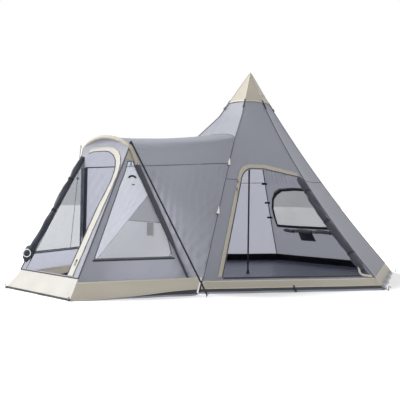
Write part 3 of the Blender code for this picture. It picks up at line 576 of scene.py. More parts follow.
looks = {
    "canopy": fabric("canopy_cloth", GREY, roughness=0.55, through=0.36),
    "porch": fabric("porch_cloth", GREY, roughness=0.62, through=0.38, glow=1.8),
    "trim": fabric("trim_cloth", BEIGE, through=0.15, sheen=0.2),
    "skirt": fabric("skirt_cloth", BEIGE, through=0.12, sheen=0.2),
    "light": fabric("inner_cloth", (0.86, 0.865, 0.88), glow=1.0, through=0.4, sheen=0.1),
    # rolled doors: the grey canopy cloth rolled up, painted near-black as painted shade of the shadowed bundle
    "rolled": fabric("rolled_cloth", (0.024, 0.028, 0.041), roughness=0.85, pitch=0.001, mottle=0.2),
    "cover": fabric("window_cover_cloth", (0.13, 0.135, 0.155), mottle=0.15),
    "pocket": fabric("pocket_cloth", (0.035, 0.038, 0.046), mottle=0.15),
    "ridge": tape("ridge_seam_tape", (0.075, 0.08, 0.098), (0.16, 0.165, 0.19)),
    "beige_tape": tape("beige_hem_tape", (0.42, 0.39, 0.33), (0.55, 0.52, 0.46)),
    "black_tape": tape("black_hem_tape", DARK, (0.05, 0.05, 0.06)),
    "zip": tape("zip_tape", (0.016, 0.017, 0.022), (0.10, 0.10, 0.12), rows=(0.5,), dash=0.003),
    "webbing": tape("strap_webbing", (0.007, 0.008, 0.011), (0.02, 0.021, 0.025), dash=0.02),
    "film": clear_film("clear_window", 0.19, (0.82, 0.83, 0.86), (0.93, 0.94, 0.96)),
    # far window: the same clear film, painted dark as painted shade
    "far_film_painted_shade": clear_film("far_window", 0.60, (0.17, 0.20, 0.25), (0.34, 0.38, 0.44)),
    # rear window: the same clear film, painted mid-grey over most of it as painted shade
    "rear_film_painted_shade": clear_film("rear_window", 0.72, (0.50, 0.50, 0.50), (0.62, 0.62, 0.62)),
    "pole": metal("pole_steel", (0.05, 0.055, 0.065), 0.42, 0.7),
    "hoop": metal("hoop_tube", (0.07, 0.075, 0.09), 0.45, 0.5),
    "peg": metal("peg_steel", (0.10, 0.105, 0.115), 0.38, 0.9),
    "white": moulded("white_plastic", (0.70, 0.70, 0.68)),
    "plastic": moulded("black_plastic", (0.018, 0.018, 0.021)),
    # groundsheet: near-black walls, and a floor lightened by a painted sheen
    "ground": coated_sheet("groundsheet", (0.013, 0.014, 0.018), 0.34),
    "dark": fabric("dark_pocket_cloth", (0.006, 0.006, 0.008), mottle=0.15),
    "sleeve": fabric("leg_sleeve_cloth", (0.035, 0.038, 0.048), mottle=0.2, pitch=0.001),
    "dark_seam": tape("dark_seam_tape", (0.05, 0.053, 0.065), (0.12, 0.12, 0.14)),
    "cream": fabric("front_trim_cloth", (0.40, 0.385, 0.355), through=0.15, mottle=0.12),
    "cream_tape": tape("cream_tape", (0.72, 0.69, 0.62), (0.82, 0.80, 0.74)),
}


# ---------------------------------------------------------------- meshes


def finish_mesh(name, shape, look, smooth=35):
    """Links a mesh built in tent coordinates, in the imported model's frame."""
    bmesh.ops.recalc_face_normals(shape, faces=shape.faces)
    mesh = bpy.data.meshes.new(name)
    shape.to_mesh(mesh)
    shape.free()
    mesh.shade_smooth()
    mesh.set_sharp_from_angle(angle=math.radians(smooth))
    mesh.transform(Matrix.Translation(AXIS))
    mesh.materials.append(looks[look])
    obj = bpy.data.objects.new(name, mesh)
    bpy.context.scene.collection.objects.link(obj)
    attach(obj, "tent")
    return obj


def cut_grid(outline, holes, across, up):
    """A flat mesh over an outline with holes, in even cells between the given grid lines."""
    flat = bmesh.new()
    edges = []
    for loop in [outline, *holes]:
        verts = [flat.verts.new((u, v, 0)) for u, v in loop]
        edges += [flat.edges.new((a, b)) for a, b in zip(verts, verts[1:] + verts[:1])]
    bmesh.ops.triangle_fill(flat, use_beauty=True, edges=edges, normal=(0, 0, 1))
    for k, places in ((0, across), (1, up)):
        normal = Vector((1 - k, k, 0))
        for place in places:
            everything = flat.verts[:] + flat.edges[:] + flat.faces[:]
            bmesh.ops.bisect_plane(flat, geom=everything, plane_co=normal * place, plane_no=normal, dist=1e-6)
    lines = ({round(place, 5) for place in across}, {round(place, 5) for place in up})

    def on_line(edge):
        a, b = (vert.co for vert in edge.verts)
        return any(abs(a[k] - b[k]) < 1e-5 and round(a[k], 5) in lines[k] for k in (0, 1))

    spare = [edge for edge in flat.edges if not edge.is_boundary and not on_line(edge)]
    bmesh.ops.dissolve_edges(flat, edges=spare, use_verts=False)
    lone = [vert for vert in flat.verts if len(vert.link_edges) == 2 and not vert.is_boundary]
    bmesh.ops.dissolve_verts(flat, verts=lone)
    bmesh.ops.triangulate(flat, faces=[face for face in flat.faces if len(face.verts) > 4])
    return flat


def bend_grid(flat, surface, size, shape=None):
    """Copies a flat mesh onto a surface(u, v), with UV in metres. size is the surface's (width, height) per unit."""
    shape = shape or bmesh.new()
    uv = shape.loops.layers.uv.verify()
    verts = {vert: shape.verts.new(surface(vert.co.x, vert.co.y)) for vert in flat.verts}
    for face in flat.faces:
        new = shape.faces.new([verts[vert] for vert in face.verts])
        for loop, old in zip(new.loops, face.loops):
            loop[uv].uv = (old.vert.co.x * size[0], old.vert.co.y * size[1])
    return shape


def inside(start, end, count):
    """Grid lines between two ends, without the ends."""
    return steps(start, end, count)[1:-1]


def cloth(name, outline, surface, look, size=(1.0, 1.0), holes=(), across=24, up=24, smooth=40):
    """A sheet over a (u, v) outline with holes, bent onto surface(u, v). size is its UV size for one unit."""
    low = [min(p[k] for p in outline) for k in (0, 1)]
    high = [max(p[k] for p in outline) for k in (0, 1)]
    columns = inside(low[0], high[0], across) if isinstance(across, int) else across
    rows = inside(low[1], high[1], up) if isinstance(up, int) else up
    flat = cut_grid(outline, holes, columns, rows)
    shape = bend_grid(flat, surface, size)
    flat.free()
    return finish_mesh(name, shape, look, smooth)


def declare_cloth(obj, flat, closed=False):
    """Works out a sheet's cut from its area, and does nothing more with it. The cloth doesn't stretch, so its flat area
    is its area as it hangs.
    """
    area = sum(face.area for face in obj.data.polygons) / (2 if closed else 1)
    width, length = flat
    if area < 0.35 * width * length:  # a narrow strip: its length follows from its width
        length = area / width


def heading(points, i):
    """The unit direction of a path at its point i."""
    return (points[min(i + 1, len(points) - 1)] - points[max(i - 1, 0)]).normalized()


def square_to(along, direction):
    """The unit vector square to a path that is nearest to a direction."""
    return (direction - along * direction.dot(along)).normalized()


def frames_along(points):
    """Each point of a path with two unit vectors square to it, carried along without a twist."""
    side = (points[1] - points[0]).orthogonal().normalized()
    for i, point in enumerate(points):
        along = heading(points, i)
        side = square_to(along, side)
        yield i, point, side, along.cross(side)


def around(centre, side, up, angle, radius):
    return centre + (side * math.cos(angle) + up * math.sin(angle)) * radius


def skin(shape, rings, place=None):
    """Faces between closed rings of vertices. place(row, column) gives each corner its UV."""
    uv = shape.loops.layers.uv.active if place else None
    for i, (low, high) in enumerate(zip(rings, rings[1:])):
        for j in range(len(low)):
            k = (j + 1) % len(low)
            face = shape.faces.new((low[j], low[k], high[k], high[j]))
            if place:
                for loop, (row, column) in zip(face.loops, ((i, j), (i, j + 1), (i + 1, j + 1), (i + 1, j))):
                    loop[uv].uv = place(row, column)


def close_ends(shape, rings):
    shape.faces.new(rings[0])
    shape.faces.new(rings[-1][::-1])


def ribbon(name, points, toward, width, thickness, look, crown=0.0, lift=0.0, widths=None):
    """A flat closed band along a path, slightly crowned. toward is the way its face looks, or gives it at a point."""
    shape = bmesh.new()
    shape.loops.layers.uv.verify()
    rings, lengths = [], [0.0]
    for a, b in zip(points, points[1:]):
        lengths.append(lengths[-1] + (b - a).length)
    for i, point in enumerate(points):
        along = heading(points, i)
        normal = square_to(along, toward(point) if callable(toward) else toward)
        across = along.cross(normal)
        half = (widths[i] if widths else width) / 2
        base = point + normal * lift
        ring = [base + across * half * s + normal * (thickness + crown * (1 - s * s)) for s in steps(-1.0, 1.0, 4)]
        ring += [base + across * half, base - across * half]
        rings.append([shape.verts.new(p) for p in ring])
    skin(shape, rings, lambda row, column: (lengths[row], min(column, 4) / 4))
    close_ends(shape, rings)
    return finish_mesh(name, shape, look, 50)


def tube(name, points, radii, look, sides=10):
    """A round cord or rod along a path, with a radius for each point."""
    shape = bmesh.new()
    rings = []
    for i, point, side, up in frames_along(points):
        spots = [around(point, side, up, math.tau * j / sides, radii[i]) for j in range(sides)]
        rings.append([shape.verts.new(spot) for spot in spots])
    skin(shape, rings)
    close_ends(shape, rings)
    return finish_mesh(name, shape, look, 60)


def toggle(name, centre, along, out):
    """A small waisted plastic toggle."""
    points = [centre + out * 0.006 + along * lerp(-0.02, 0.02, i / 8) for i in range(9)]
    tube(name, points, [0.004, 0.0062, 0.0068, 0.0058, 0.005, 0.0058, 0.0068, 0.0062, 0.004], "plastic")


def rolled_cloth(name, points, radius, look, ties, toward, seed):
    """Cloth rolled up loosely: a spiral-edged bundle along a path, pinched by ties with a toggle each."""
    sides = 28
    shape = bmesh.new()
    shape.loops.layers.uv.verify()
    rings = []
    total = len(points) - 1
    for i, point, side, up in frames_along(points):
        t = i / total
        pinch = 1.0
        for tie in ties:
            pinch -= 0.24 * math.exp(-(((t - tie) * total / 2.2) ** 2))
        ends = min(1.0, 0.55 + 9 * min(t, 1 - t))
        ring = []
        for j in range(sides):
            angle = math.tau * j / sides
            edge = 0.10 * ((j / sides + 0.25 * t) % 1.0)
            crease = 0.09 * math.sin(3 * angle + 5.0 * math.sin(6.3 * t + seed) + seed)
            rough = 0.16 * noise.noise(Vector((math.cos(angle) * 1.3, math.sin(angle) * 1.3, t * 17 + seed)))
            r = radius * pinch * ends * (1 + edge + crease + rough)
            ring.append(shape.verts.new(around(point, side, up, angle, r)))
        rings.append(ring)
    length = sum((b - a).length for a, b in zip(points, points[1:]))
    skin(shape, rings, lambda row, column: (row / total * length, column / sides * radius * math.tau))
    for ring, order in ((rings[0], 1), (rings[-1], -1)):
        middle = shape.verts.new(sum((vert.co for vert in ring), Vector()) / sides)
        for j in range(sides):
            shape.faces.new((middle, ring[j], ring[(j + 1) % sides])[::order])
    roll = finish_mesh(name, shape, look, 60)
    for n, tie in enumerate(ties, 1):
        place = tie * total
        i = min(int(place), total - 1)
        centre = points[i].lerp(points[i + 1], place - i)
        along = (points[i + 1] - points[i]).normalized()
        first = along.orthogonal().normalized()
        second = along.cross(first)
        loop = [
            centre + (first * math.cos(angle) + second * math.sin(angle)) * radius * 0.92
            for angle in (math.tau * j / 24 for j in range(25))
        ]
        ribbon(f"{name}_tie_{n}", loop, lambda p, c=centre: p - c, 0.02, 0.002, "webbing", lift=0.001)
        out = toward.normalized()
        toggle(f"{name}_toggle_{n}", centre + out * radius * 1.02, along, out)
    return roll


# ---------------------------------------------------------------- how the cloth hangs


def smoothstep(a, b, x):
    t = max(0.0, min(1.0, (x - a) / (b - a)))
    return t * t * (3 - 2 * t)


def crease(distance, along, pitch, reach, slope, seed):
    """Pull folds that start at a seam and die out away from it."""
    wander = 1.5 * noise.noise(Vector((along * 2.1, distance * 2.6, seed)))
    wave = math.sin(math.tau * (along + slope * distance) / pitch + 2.2 * wander + seed)
    return wave * math.exp(-distance / reach) * (0.6 + 0.8 * noise.noise(Vector((along * 3.3, seed, 4.0))))


def facet_normal(side):
    first, second = (CORNERS[corner] for corner in side)
    middle = math.radians((first + second) / 2 if abs(first - second) < 180 else 0)
    apothem = CORNER_RADIUS * math.cos(math.radians(30))
    return Vector((math.cos(middle) * HEIGHT, math.sin(middle) * HEIGHT, apothem)).normalized()


def panel_drape(side, u, z, pleats=0.0):
    """How far a panel's cloth stands out of the flat between its two ridges."""
    width = panel_width(side, z)
    left, right = u * width, (1 - u) * width
    near_seam = smoothstep(0, 0.05, min(left, right))
    top = smoothstep(CAP_BOTTOM + 0.15, CAP_BOTTOM - 0.25, z)
    seed = CORNERS[side[0]] * 0.13
    billow = -0.022 * 4 * u * (1 - u) * smoothstep(0.0, 0.6, z) * top
    pulls = 0.0045 * crease(left, z, 0.17, 0.26, 0.9, seed) + 0.0045 * crease(right, z, 0.19, 0.24, 0.8, seed + 3)
    point = panel_point(side, u, z)
    soft = 0.006 * noise.noise(point * 1.9 + Vector((seed, 0, 0))) + 0.0022 * noise.noise(point * 6.5)
    folds = 0.0
    if pleats:
        place = (u - 0.5) * CORNER_RADIUS
        reach = smoothstep(2.15, 1.75, z) * smoothstep(1.30, 1.42, z)
        folds = pleats * reach * math.sin(math.tau * place / 0.085 + 1.2 * noise.noise(Vector((place * 4, z, 7.0))))
    return billow + near_seam * top * (pulls + soft + folds)


def panel_surface(side, lift=0.0, pleats=0.0):
    normal = facet_normal(side)

    def surface(u, z):
        return panel_point(side, u, z) + normal * (lift + panel_drape(side, u, z, pleats))

    return surface


def add_canopy():
    """The six sides of the canopy as one sewn sheet, with the side door and the rear window cut out."""
    heights = inside(SKIRT_TOP, CANOPY_TOP, PANEL_ROWS)
    whole = rectangle(0.0, 1.0, SKIRT_TOP, CANOPY_TOP)
    holes = {SIDE_DOOR: [side_door_outline(0)], REAR: [rear_window_outline(0)]}
    shape = bmesh.new()
    for side in (FRONT, SIDE_DOOR, NEAR_REAR, REAR, FAR_REAR, FAR_FRONT):
        outline, rows = whole, heights
        if side == FRONT:
            outline = rectangle(0.0, 1.0, INNER_DOOR_TOP, CANOPY_TOP)
            rows = [z for z in heights if z > INNER_DOOR_TOP + 0.01]
        flat = cut_grid(outline, holes.get(side, []), inside(0, 1, ACROSS), rows)
        bend_grid(flat, panel_surface(side, pleats=PLEATS.get(side, 0.0)), PANEL_UV, shape)
        flat.free()
    bmesh.ops.remove_doubles(shape, verts=shape.verts, dist=0.0004)
    canopy = finish_mesh("canopy", shape, "canopy", 35)
    panels = ("front_panel", "side_door_panel", "near_rear_panel", "rear_window_panel", "far_rear_panel")
    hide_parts(*panels, "far_front_panel")
    declare_cloth(canopy, (14.16, 2.9))


def add_ridge_seams():
    """A folded seam runs down every ridge, from under the cap to the skirt."""
    for corner, angle in CORNERS.items():
        low = SKIRT_TOP if corner not in ("near_front", "far_front") else SKIRT_TOP + 0.01
        points = [ridge_point(corner, z) for z in steps(CAP_BOTTOM + 0.05, low, 48)]
        out = Vector((math.cos(math.radians(angle)), math.sin(math.radians(angle)), 0.7))
        ribbon(f"ridge_seam_{corner}", points, out, 0.016, 0.0015, "ridge", crown=0.0025, lift=0.0008)
        inner = [point - out * 0.004 for point in points]
        ribbon(f"ridge_binding_{corner}", inner, -out, 0.012, 0.001, "ridge", crown=0.002)


def add_panel_seams():
    """Level seams where each side's cloth is joined, interrupted by the side door."""
    for side in (SIDE_DOOR, NEAR_REAR, FAR_REAR, FAR_FRONT):
        name = "_".join((side[0], side[1]))
        surface = panel_surface(side, 0.001)
        spans = [(0.004, 0.996)]
        if side == SIDE_DOOR:
            outline = side_door_outline(DOOR_TRIM_WIDTH)
            level = [
                lerp(a[0], b[0], (CROSS_SEAM - a[1]) / (b[1] - a[1]))
                for a, b in zip(outline, outline[1:])
                if (a[1] - CROSS_SEAM) * (b[1] - CROSS_SEAM) < 0
            ]
            spans = [(0.004, min(level)), (max(level), 0.996)]
        for n, (start, end) in enumerate(spans):
            points = [surface(u, CROSS_SEAM) for u in steps(start, end, 30)]
            ribbon(
                f"level_seam_{name}_{n + 1}", points, facet_normal(side), 0.010, 0.0008, "ridge", crown=0.001
            )


def add_peak_cap():
    """A fitted hood of trim cloth over the pole's top, hollowed between its ridges, with a bound lower edge."""
    count = len(CORNERS)
    across = 10
    corners = list(CORNERS)
    heights = steps(CAP_BOTTOM, CAP_TIP - 0.02, 20)
    shape = bmesh.new()
    shape.loops.layers.uv.verify()

    def cap_point(i, t, z):
        a, b = corners[i % count], corners[(i + 1) % count]
        first, second = ridge_or_tip(a, z), ridge_or_tip(b, z)
        point = first.lerp(second, t)
        radius = math.hypot(point.x, point.y)
        slack = -0.010 * 4 * t * (1 - t) * (1 - z / HEIGHT) * 6
        drop = -0.012 * 4 * t * (1 - t) * smoothstep(CAP_BOTTOM + 0.12, CAP_BOTTOM, z)
        ripple = 0.0025 * noise.noise(point * 9) * smoothstep(0, 0.1, min(t, 1 - t))
        scale = (radius + CAP_LIFT + slack + ripple) / radius if radius > 0.004 else 1.0
        return Vector((point.x * scale, point.y * scale, z - drop))

    rings = []
    for z in heights:
        rings.append([shape.verts.new(cap_point(j // across, (j % across) / across, z)) for j in range(count * across)])
    tip = shape.verts.new((0, 0, CAP_TIP))
    total = count * across
    skin(shape, rings, lambda row, column: (column / total * 2.2, heights[row]))
    for j in range(total):
        shape.faces.new((rings[-1][j], rings[-1][(j + 1) % total], tip))
    cap = finish_mesh("cap_hood", shape, "trim", 30)
    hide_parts("peak_cap")
    hem = [cap_point(j // across, (j % across) / across, CAP_BOTTOM) for j in range(total)]
    hem.append(hem[0].copy())
    edge = ribbon("cap_hem", hem, lambda p: Vector((p.x, p.y, 0.2)), 0.022, 0.0016, "beige_tape", lift=0.0005)
    for i, corner in enumerate(corners):
        points = [cap_point(i, 0.0, z) for z in heights]
        out = Vector((points[0].x, points[0].y, 0.2))
        ribbon(f"cap_seam_{corner}", points, out, 0.010, 0.001, "beige_tape", crown=0.0015, lift=0.0005)
        strap_z = steps(CAP_BOTTOM + 0.03, CAP_BOTTOM - 0.085, 8)
        strap = [outward(ridge_point(corner, z), 0.008 + 0.004 * (i % 2)) for z in strap_z]
        ribbon(f"cap_strap_{corner}", strap, out, 0.02, 0.002, "webbing")
        low = outward(ridge_point(corner, CAP_BOTTOM - 0.085), 0.012)
        along = (strap[-1] - strap[-2]).normalized()
        buckle = [low - along * 0.022, low, low + along * 0.022]
        ribbon(f"cap_buckle_{corner}", buckle, out, 0.028, 0.006, "plastic", crown=0.002)
    declare_cloth(cap, (2.2, 0.62))


def ridge_or_tip(corner, z):
    """The ridge, closing in on the cap's tip above the canopy."""
    point = ridge_point(corner, min(z, HEIGHT - 0.002))
    pull = smoothstep(2.9, CAP_TIP, z)
    return Vector((point.x * (1 - pull * 0.2), point.y * (1 - pull * 0.2), z))


def skirt_surface(side, flare=0.02):
    """A skirt that hangs from the canopy's lower seam and swings out a little, with soft waves at its hem."""
    base = panel_surface(side)
    normal = facet_normal(side)
    level = Vector((normal.x, normal.y, 0)).normalized()

    def surface(u, z):
        low = 1 - z / SKIRT_TOP
        point = panel_point(side, u, z)
        place = u * CORNER_RADIUS
        ends = smoothstep(0, 0.06, min(u, 1 - u))
        wave = 0.008 * math.sin(math.tau * place / 0.62 + CORNERS[side[0]]) + 0.010 * noise.noise(point * 3.0)
        join = base(u, SKIRT_TOP) - panel_point(side, u, SKIRT_TOP)
        return point + join * (1 - low) + level * low * ends * (flare * 0.4 + wave)

    return surface


def add_skirts():
    names = ("side_door", "near_rear", "rear", "far_rear", "far_front")
    for name, side in zip(names, (SIDE_DOOR, NEAR_REAR, REAR, FAR_REAR, FAR_FRONT)):
        surface = skirt_surface(side)
        width = CORNER_RADIUS
        outline = rectangle(0, 1, SKIRT_LIFT, SKIRT_TOP)
        skirt = cloth(f"mud_skirt_{name}", outline, surface, "skirt", PANEL_UV, across=60, up=8)
        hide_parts(f"skirt_{name}")
        seam = [surface(u, SKIRT_TOP) for u in steps(0.002, 0.998, 50)]
        top = ribbon(f"skirt_seam_{name}", seam, facet_normal(side), 0.016, 0.0012, "beige_tape", crown=0.001)
        level = Vector((facet_normal(side).x, facet_normal(side).y, 0.15))
        low = [surface(u, SKIRT_LIFT + 0.004) for u in steps(0.002, 0.998, 50)]
        hem = ribbon(f"skirt_hem_{name}", low, level, 0.014, 0.0016, "beige_tape", lift=0.0004)
        normal = facet_normal(side)

        def behind(u, z, s=surface, n=normal):
            return s(u, z) - Vector((n.x, n.y, 0)) * 0.006

        outline = rectangle(0.004, 0.996, 0.001, SKIRT_LIFT + 0.02)
        flap = cloth(f"ground_flap_{name}", outline, behind, "ground", (width, 1.0), across=50, up=3)
        declare_cloth(skirt, (width, SKIRT_TOP * 1.3))
        declare_cloth(flap, (width, 0.09))


# ---------------------------------------------------------------- ground


def add_groundsheets():
    """The inner tray, with a soft upright wall, and the porch's loose floor."""
    corners = list(CORNERS)
    count, across = len(corners), 22
    inset = 0.024
    levels = [(0.004, 0.03), (0.03, 0.006), (0.075, 0.0), (TUB_TOP, 0.0)]

    def wall_point(j, z, extra):
        i, t = j // across, (j % across) / across
        a, b = corners[i % count], corners[(i + 1) % count]
        point = ridge_point(a, z).lerp(ridge_point(b, z), t)
        sag = 0.016 * 4 * t * (1 - t) * (z / TUB_TOP) + 0.008 * noise.noise(point * 5) * (z / TUB_TOP)
        return outward(point, -inset - extra - sag)

    shape = bmesh.new()
    total = count * across
    rings = [[shape.verts.new(wall_point(j, z, extra)) for j in range(total)] for z, extra in levels]
    inner = rings[0]
    for r in range(1, FLOOR_RINGS):
        scale = 1 - r / FLOOR_RINGS
        ring = []
        for j in range(total):
            rim = inner[j].co
            x, y = rim.x * scale, rim.y * scale
            rise = 0.0035 * (1 + noise.noise(Vector((x * 2.4, y * 2.4, 1.0))))
            ring.append(shape.verts.new((x, y, FLOOR_Z + rise)))
        rings.insert(0, ring)
    middle = shape.verts.new((0, 0, FLOOR_Z + 0.002))
    skin(shape, rings)
    for j in range(total):
        shape.faces.new((middle, rings[0][j], rings[0][(j + 1) % total]))
    tray = finish_mesh("inner_tray", shape, "ground", 50)
    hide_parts("inner_groundsheet")
    rim = [wall_point(j % total, TUB_TOP, 0.0) for j in range(total + 1)]
    edge = ribbon(
        "tray_binding", rim, lambda p: Vector((-p.x, -p.y, 0.3)), 0.014, 0.0015, "black_tape", lift=0.0005
    )
    declare_cloth(tray, (4.9, 4.3))

    corners = [(-3.45, -0.69), (-2.17, -1.08), (-2.17, 1.08), (-3.42, 0.50)]

    def floor(x, y):
        return Vector((x, y, 0.004 + 0.003 * (1 + noise.noise(Vector((x * 3, y * 3, 2.0))))))

    porch = cloth("porch_floor", corners, floor, "ground", across=30, up=30)
    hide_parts("porch_groundsheet")
    declare_cloth(porch, (1.28, 2.16))


# ---------------------------------------------------------------- doors and windows of the teepee


def along_outline(surface, opening, grow, first, last, lift, normal, per_span=3):
    """Points on a surface that follow part of an opening's outline, moved outward by grow."""
    flat = [Vector((u, z, 0)) for u, z in opening(grow)[first:last]]
    dense = []
    for a, b in zip(flat, flat[1:]):
        dense += [a.lerp(b, i / per_span) for i in range(per_span)]
    dense.append(flat[-1])
    return [surface(p.x, p.y) + normal * lift for p in dense]


def add_side_door():
    surface = panel_surface(SIDE_DOOR)
    normal = facet_normal(SIDE_DOOR)
    opening = side_door_outline(0)
    keep = range(0, len(opening) - 7)

    def raised(u, z):
        return surface(u, z) + normal * (0.006 + 0.0015 * noise.noise(Vector((u * 9, z * 9, 0))))

    band = trim_outline(side_door_outline, DOOR_TRIM_WIDTH, keep)
    trim = cloth("side_door_band", band, raised, "trim", PANEL_UV, across=30, up=40)
    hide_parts("side_door_trim")
    last = len(opening) - 7
    zip_line = along_outline(surface, side_door_outline, 0.009, 0, last, 0.0075, normal)
    teeth = ribbon("side_door_zip", zip_line, normal, 0.012, 0.0016, "zip", crown=0.0012)
    outer = along_outline(surface, side_door_outline, DOOR_TRIM_WIDTH - 0.005, 0, last, 0.0075, normal)
    piping = ribbon("side_door_piping", outer, normal, 0.007, 0.001, "beige_tape", crown=0.001)
    declare_cloth(trim, (DOOR_TRIM_WIDTH, 12.0))

    rear = along_outline(surface, side_door_outline, 0.0, last, len(opening), 0.002, normal)
    ribbon("side_door_rear_binding", rear, normal, 0.014, 0.0012, "ridge", crown=0.001)
    sill = [surface(u, DOOR_SILL - 0.012) + normal * 0.003 for u in steps(opening[0][0], opening[-1][0], 30)]
    ribbon("side_door_sill_zip", sill, normal, 0.022, 0.0015, "zip", crown=0.002)

    path = []
    for z in steps(0.255, 1.415, 44):
        width = panel_width(SIDE_DOOR, z)
        sway = 0.006 * math.sin(9 * z)
        path.append(outward(panel_point(SIDE_DOOR, 1 - (0.13 + sway) / width, z), 0.068))
    roll = rolled_cloth(
        "side_door_rolled", path, 0.046, "rolled", ties=(0.16, 0.5, 0.84), toward=normal, seed=2.0
    )
    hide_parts("side_door_roll")

    add_door_flap(surface, normal, opening)


def add_door_flap(surface, normal, opening):
    """A strip of the door's cloth twists from the low rear corner into the roll, its pale side out."""
    low = Vector((opening[-1][0], DOOR_SILL + 0.002, 0))
    start = surface(low.x - 0.05, low.y) + normal * 0.02
    end = surface(low.x + 0.004, low.y - 0.03) + normal * 0.02
    top = surface(opening[-2][0] - 0.03, opening[-2][1]) + normal * 0.05
    points = smooth_curve([top, (top + start) / 2 + normal * 0.02, start, end], 8)
    widths = [lerp(0.02, 0.034, i / (len(points) - 1)) for i in range(len(points))]
    ribbon("side_door_flap", points, normal, 0.05, 0.0015, "beige_tape", crown=0.006, widths=widths)


def add_rear_window():
    surface = panel_surface(REAR, pleats=PLEATS[REAR])
    normal = facet_normal(REAR)

    def pane_surface(u, z):
        return surface(u, z) - normal * 0.001

    pane = cloth(
        "rear_window_film", rear_window_outline(-0.001), pane_surface, "rear_film_painted_shade", PANEL_UV, across=24, up=12
    )
    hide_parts("rear_window_pane")
    declare_cloth(pane, (1.56, 0.64))

    def inner_surface(u, z):
        return surface(u, z) - normal * 0.005

    outline, hole = rear_window_outline(WINDOW_FRAME), rear_window_outline(-0.012)
    rim = cloth("rear_window_border", outline, inner_surface, "cover", PANEL_UV, holes=[hole], across=40, up=20)
    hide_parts("rear_window_frame")
    outline = [Vector((u, z, 0)) for u, z in rear_window_outline(0.004)]
    outline.append(outline[0].copy())
    dense = [p for a, b in zip(outline, outline[1:]) for p in (a, a.lerp(b, 0.33), a.lerp(b, 0.67))]
    line = [inner_surface(p.x, p.y) - normal * 0.002 for p in dense] + [inner_surface(outline[0].x, outline[0].y)]
    zipped = ribbon("rear_window_zip", line, -normal, 0.034, 0.0015, "zip", crown=0.001)
    outside = [surface(p.x, p.y) + normal * 0.001 for p in dense] + [surface(outline[0].x, outline[0].y)]
    ribbon("rear_window_piping", outside, normal, 0.012, 0.0012, "ridge", crown=0.001)
    declare_cloth(rim, (WINDOW_FRAME + 0.012, 16.0))

    path = []
    for u in steps(0.16, 0.84, 44):
        sag = 0.012 * math.sin(math.pi * (u - 0.16) / 0.68 * 3) ** 2
        path.append(outward(panel_point(REAR, u, WINDOW_BOTTOM - 0.085 - sag), -0.066))
    roll = rolled_cloth(
        "rear_window_rolled", path, 0.028, "cover", ties=(0.18, 0.5, 0.82), toward=-normal, seed=5.0
    )
    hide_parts("rear_window_cover_roll")

    add_pocket("rear_pocket", REAR, 0.60, 0.52, 0.30, 0.17)


def add_pocket(name, side, u, z, width, height):
    """A patch pocket on the inside of a wall, with a bound mouth."""
    surface = panel_surface(side)
    normal = facet_normal(side)
    half = width / 2 / panel_width(side, z)

    def pouch(a, b):
        across, rise = (a - u) / half, (b - z) / (height / 2)
        belly = 0.014 * max(0.0, 1 - across * across) * max(0.0, 1 - rise**4) ** 0.5
        return surface(a, b) - normal * (0.004 + belly)

    outline = rectangle(u - half, u + half, z - height / 2, z + height / 2)
    pouch_cloth = cloth(name, outline, pouch, "pocket", PANEL_UV, across=14, up=8)
    mouth = [pouch(u - half + 2 * half * i / 14, z + height / 2) for i in range(15)]
    edge = ribbon(f"{name}_edge", mouth, -normal, 0.012, 0.001, "black_tape")
    declare_cloth(pouch_cloth, (width, height * 1.1))


def add_inner_door():
    """Below the canopy's front side: a light inner wall with its own closed door, seen through the porch."""
    surface = panel_surface(FRONT)
    normal = facet_normal(FRONT)

    def hung(u, z):
        low = 1 - z / INNER_DOOR_TOP
        place = u * CORNER_RADIUS
        wave = 0.008 * low * math.sin(math.tau * place / 0.34 + 2 * noise.noise(Vector((place, z * 2, 0))))
        return surface(u, z) - normal * 0.002 + normal * wave * smoothstep(0, 0.05, min(u, 1 - u))

    outline = rectangle(0.012, 0.988, 0.008, INNER_DOOR_TOP + 0.004)
    wall = cloth("inner_wall", outline, hung, "light", PANEL_UV, across=60, up=24)
    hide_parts("inner_door_panel")
    top = [surface(u, INNER_DOOR_TOP) + normal * 0.002 for u in steps(0.006, 0.994, 50)]
    seam = ribbon("inner_wall_seam", top, normal, 0.018, 0.0012, "ridge", crown=0.001)
    line = [hung(u, z) + normal * 0.004 for u, z in [(0.66, z) for z in steps(0.02, INNER_DOOR_TOP - 0.01, 30)]]
    closed = ribbon("inner_door_zip", line, normal, 0.012, 0.0015, "zip", crown=0.001)
    line = [hung(u, 0.07) + normal * 0.004 for u in steps(0.2, 0.66, 30)]
    sill = ribbon("inner_door_sill_zip", line, normal, 0.012, 0.0015, "zip", crown=0.001)
    tag = []
    for y, z in POCKET_CORNERS:
        first, last = hung(0.0, z).y, hung(1.0, z).y
        tag.append(((y - first) / (last - first), z))
    label = cloth(
        "inner_door_pocket", tag, lambda u, z: hung(u, z) + normal * 0.014, "dark", PANEL_UV, across=8, up=6
    )
    declare_cloth(wall, (2.36, 0.80))


# ---------------------------------------------------------------- porch


def roof_curves():
    """The roof's front edge over the hoop, and its rear edge on the teepee's front side."""
    front = [Vector((p.x + ROOF_OVERLAP, p.y, p.z)) for p in arch_path(4)]
    near = [Vector((0, -y, z)) for y, z in ROOF_REAR]
    far = [Vector((0, -p.y, p.z)) for p in reversed(near[:-1])]
    rear = []
    for point in smooth_curve(near + far, 4):
        middle = panel_point(FRONT, 0.5, point.z)
        rear.append(Vector((middle.x - 0.004, point.y, point.z)))
    return front, rear


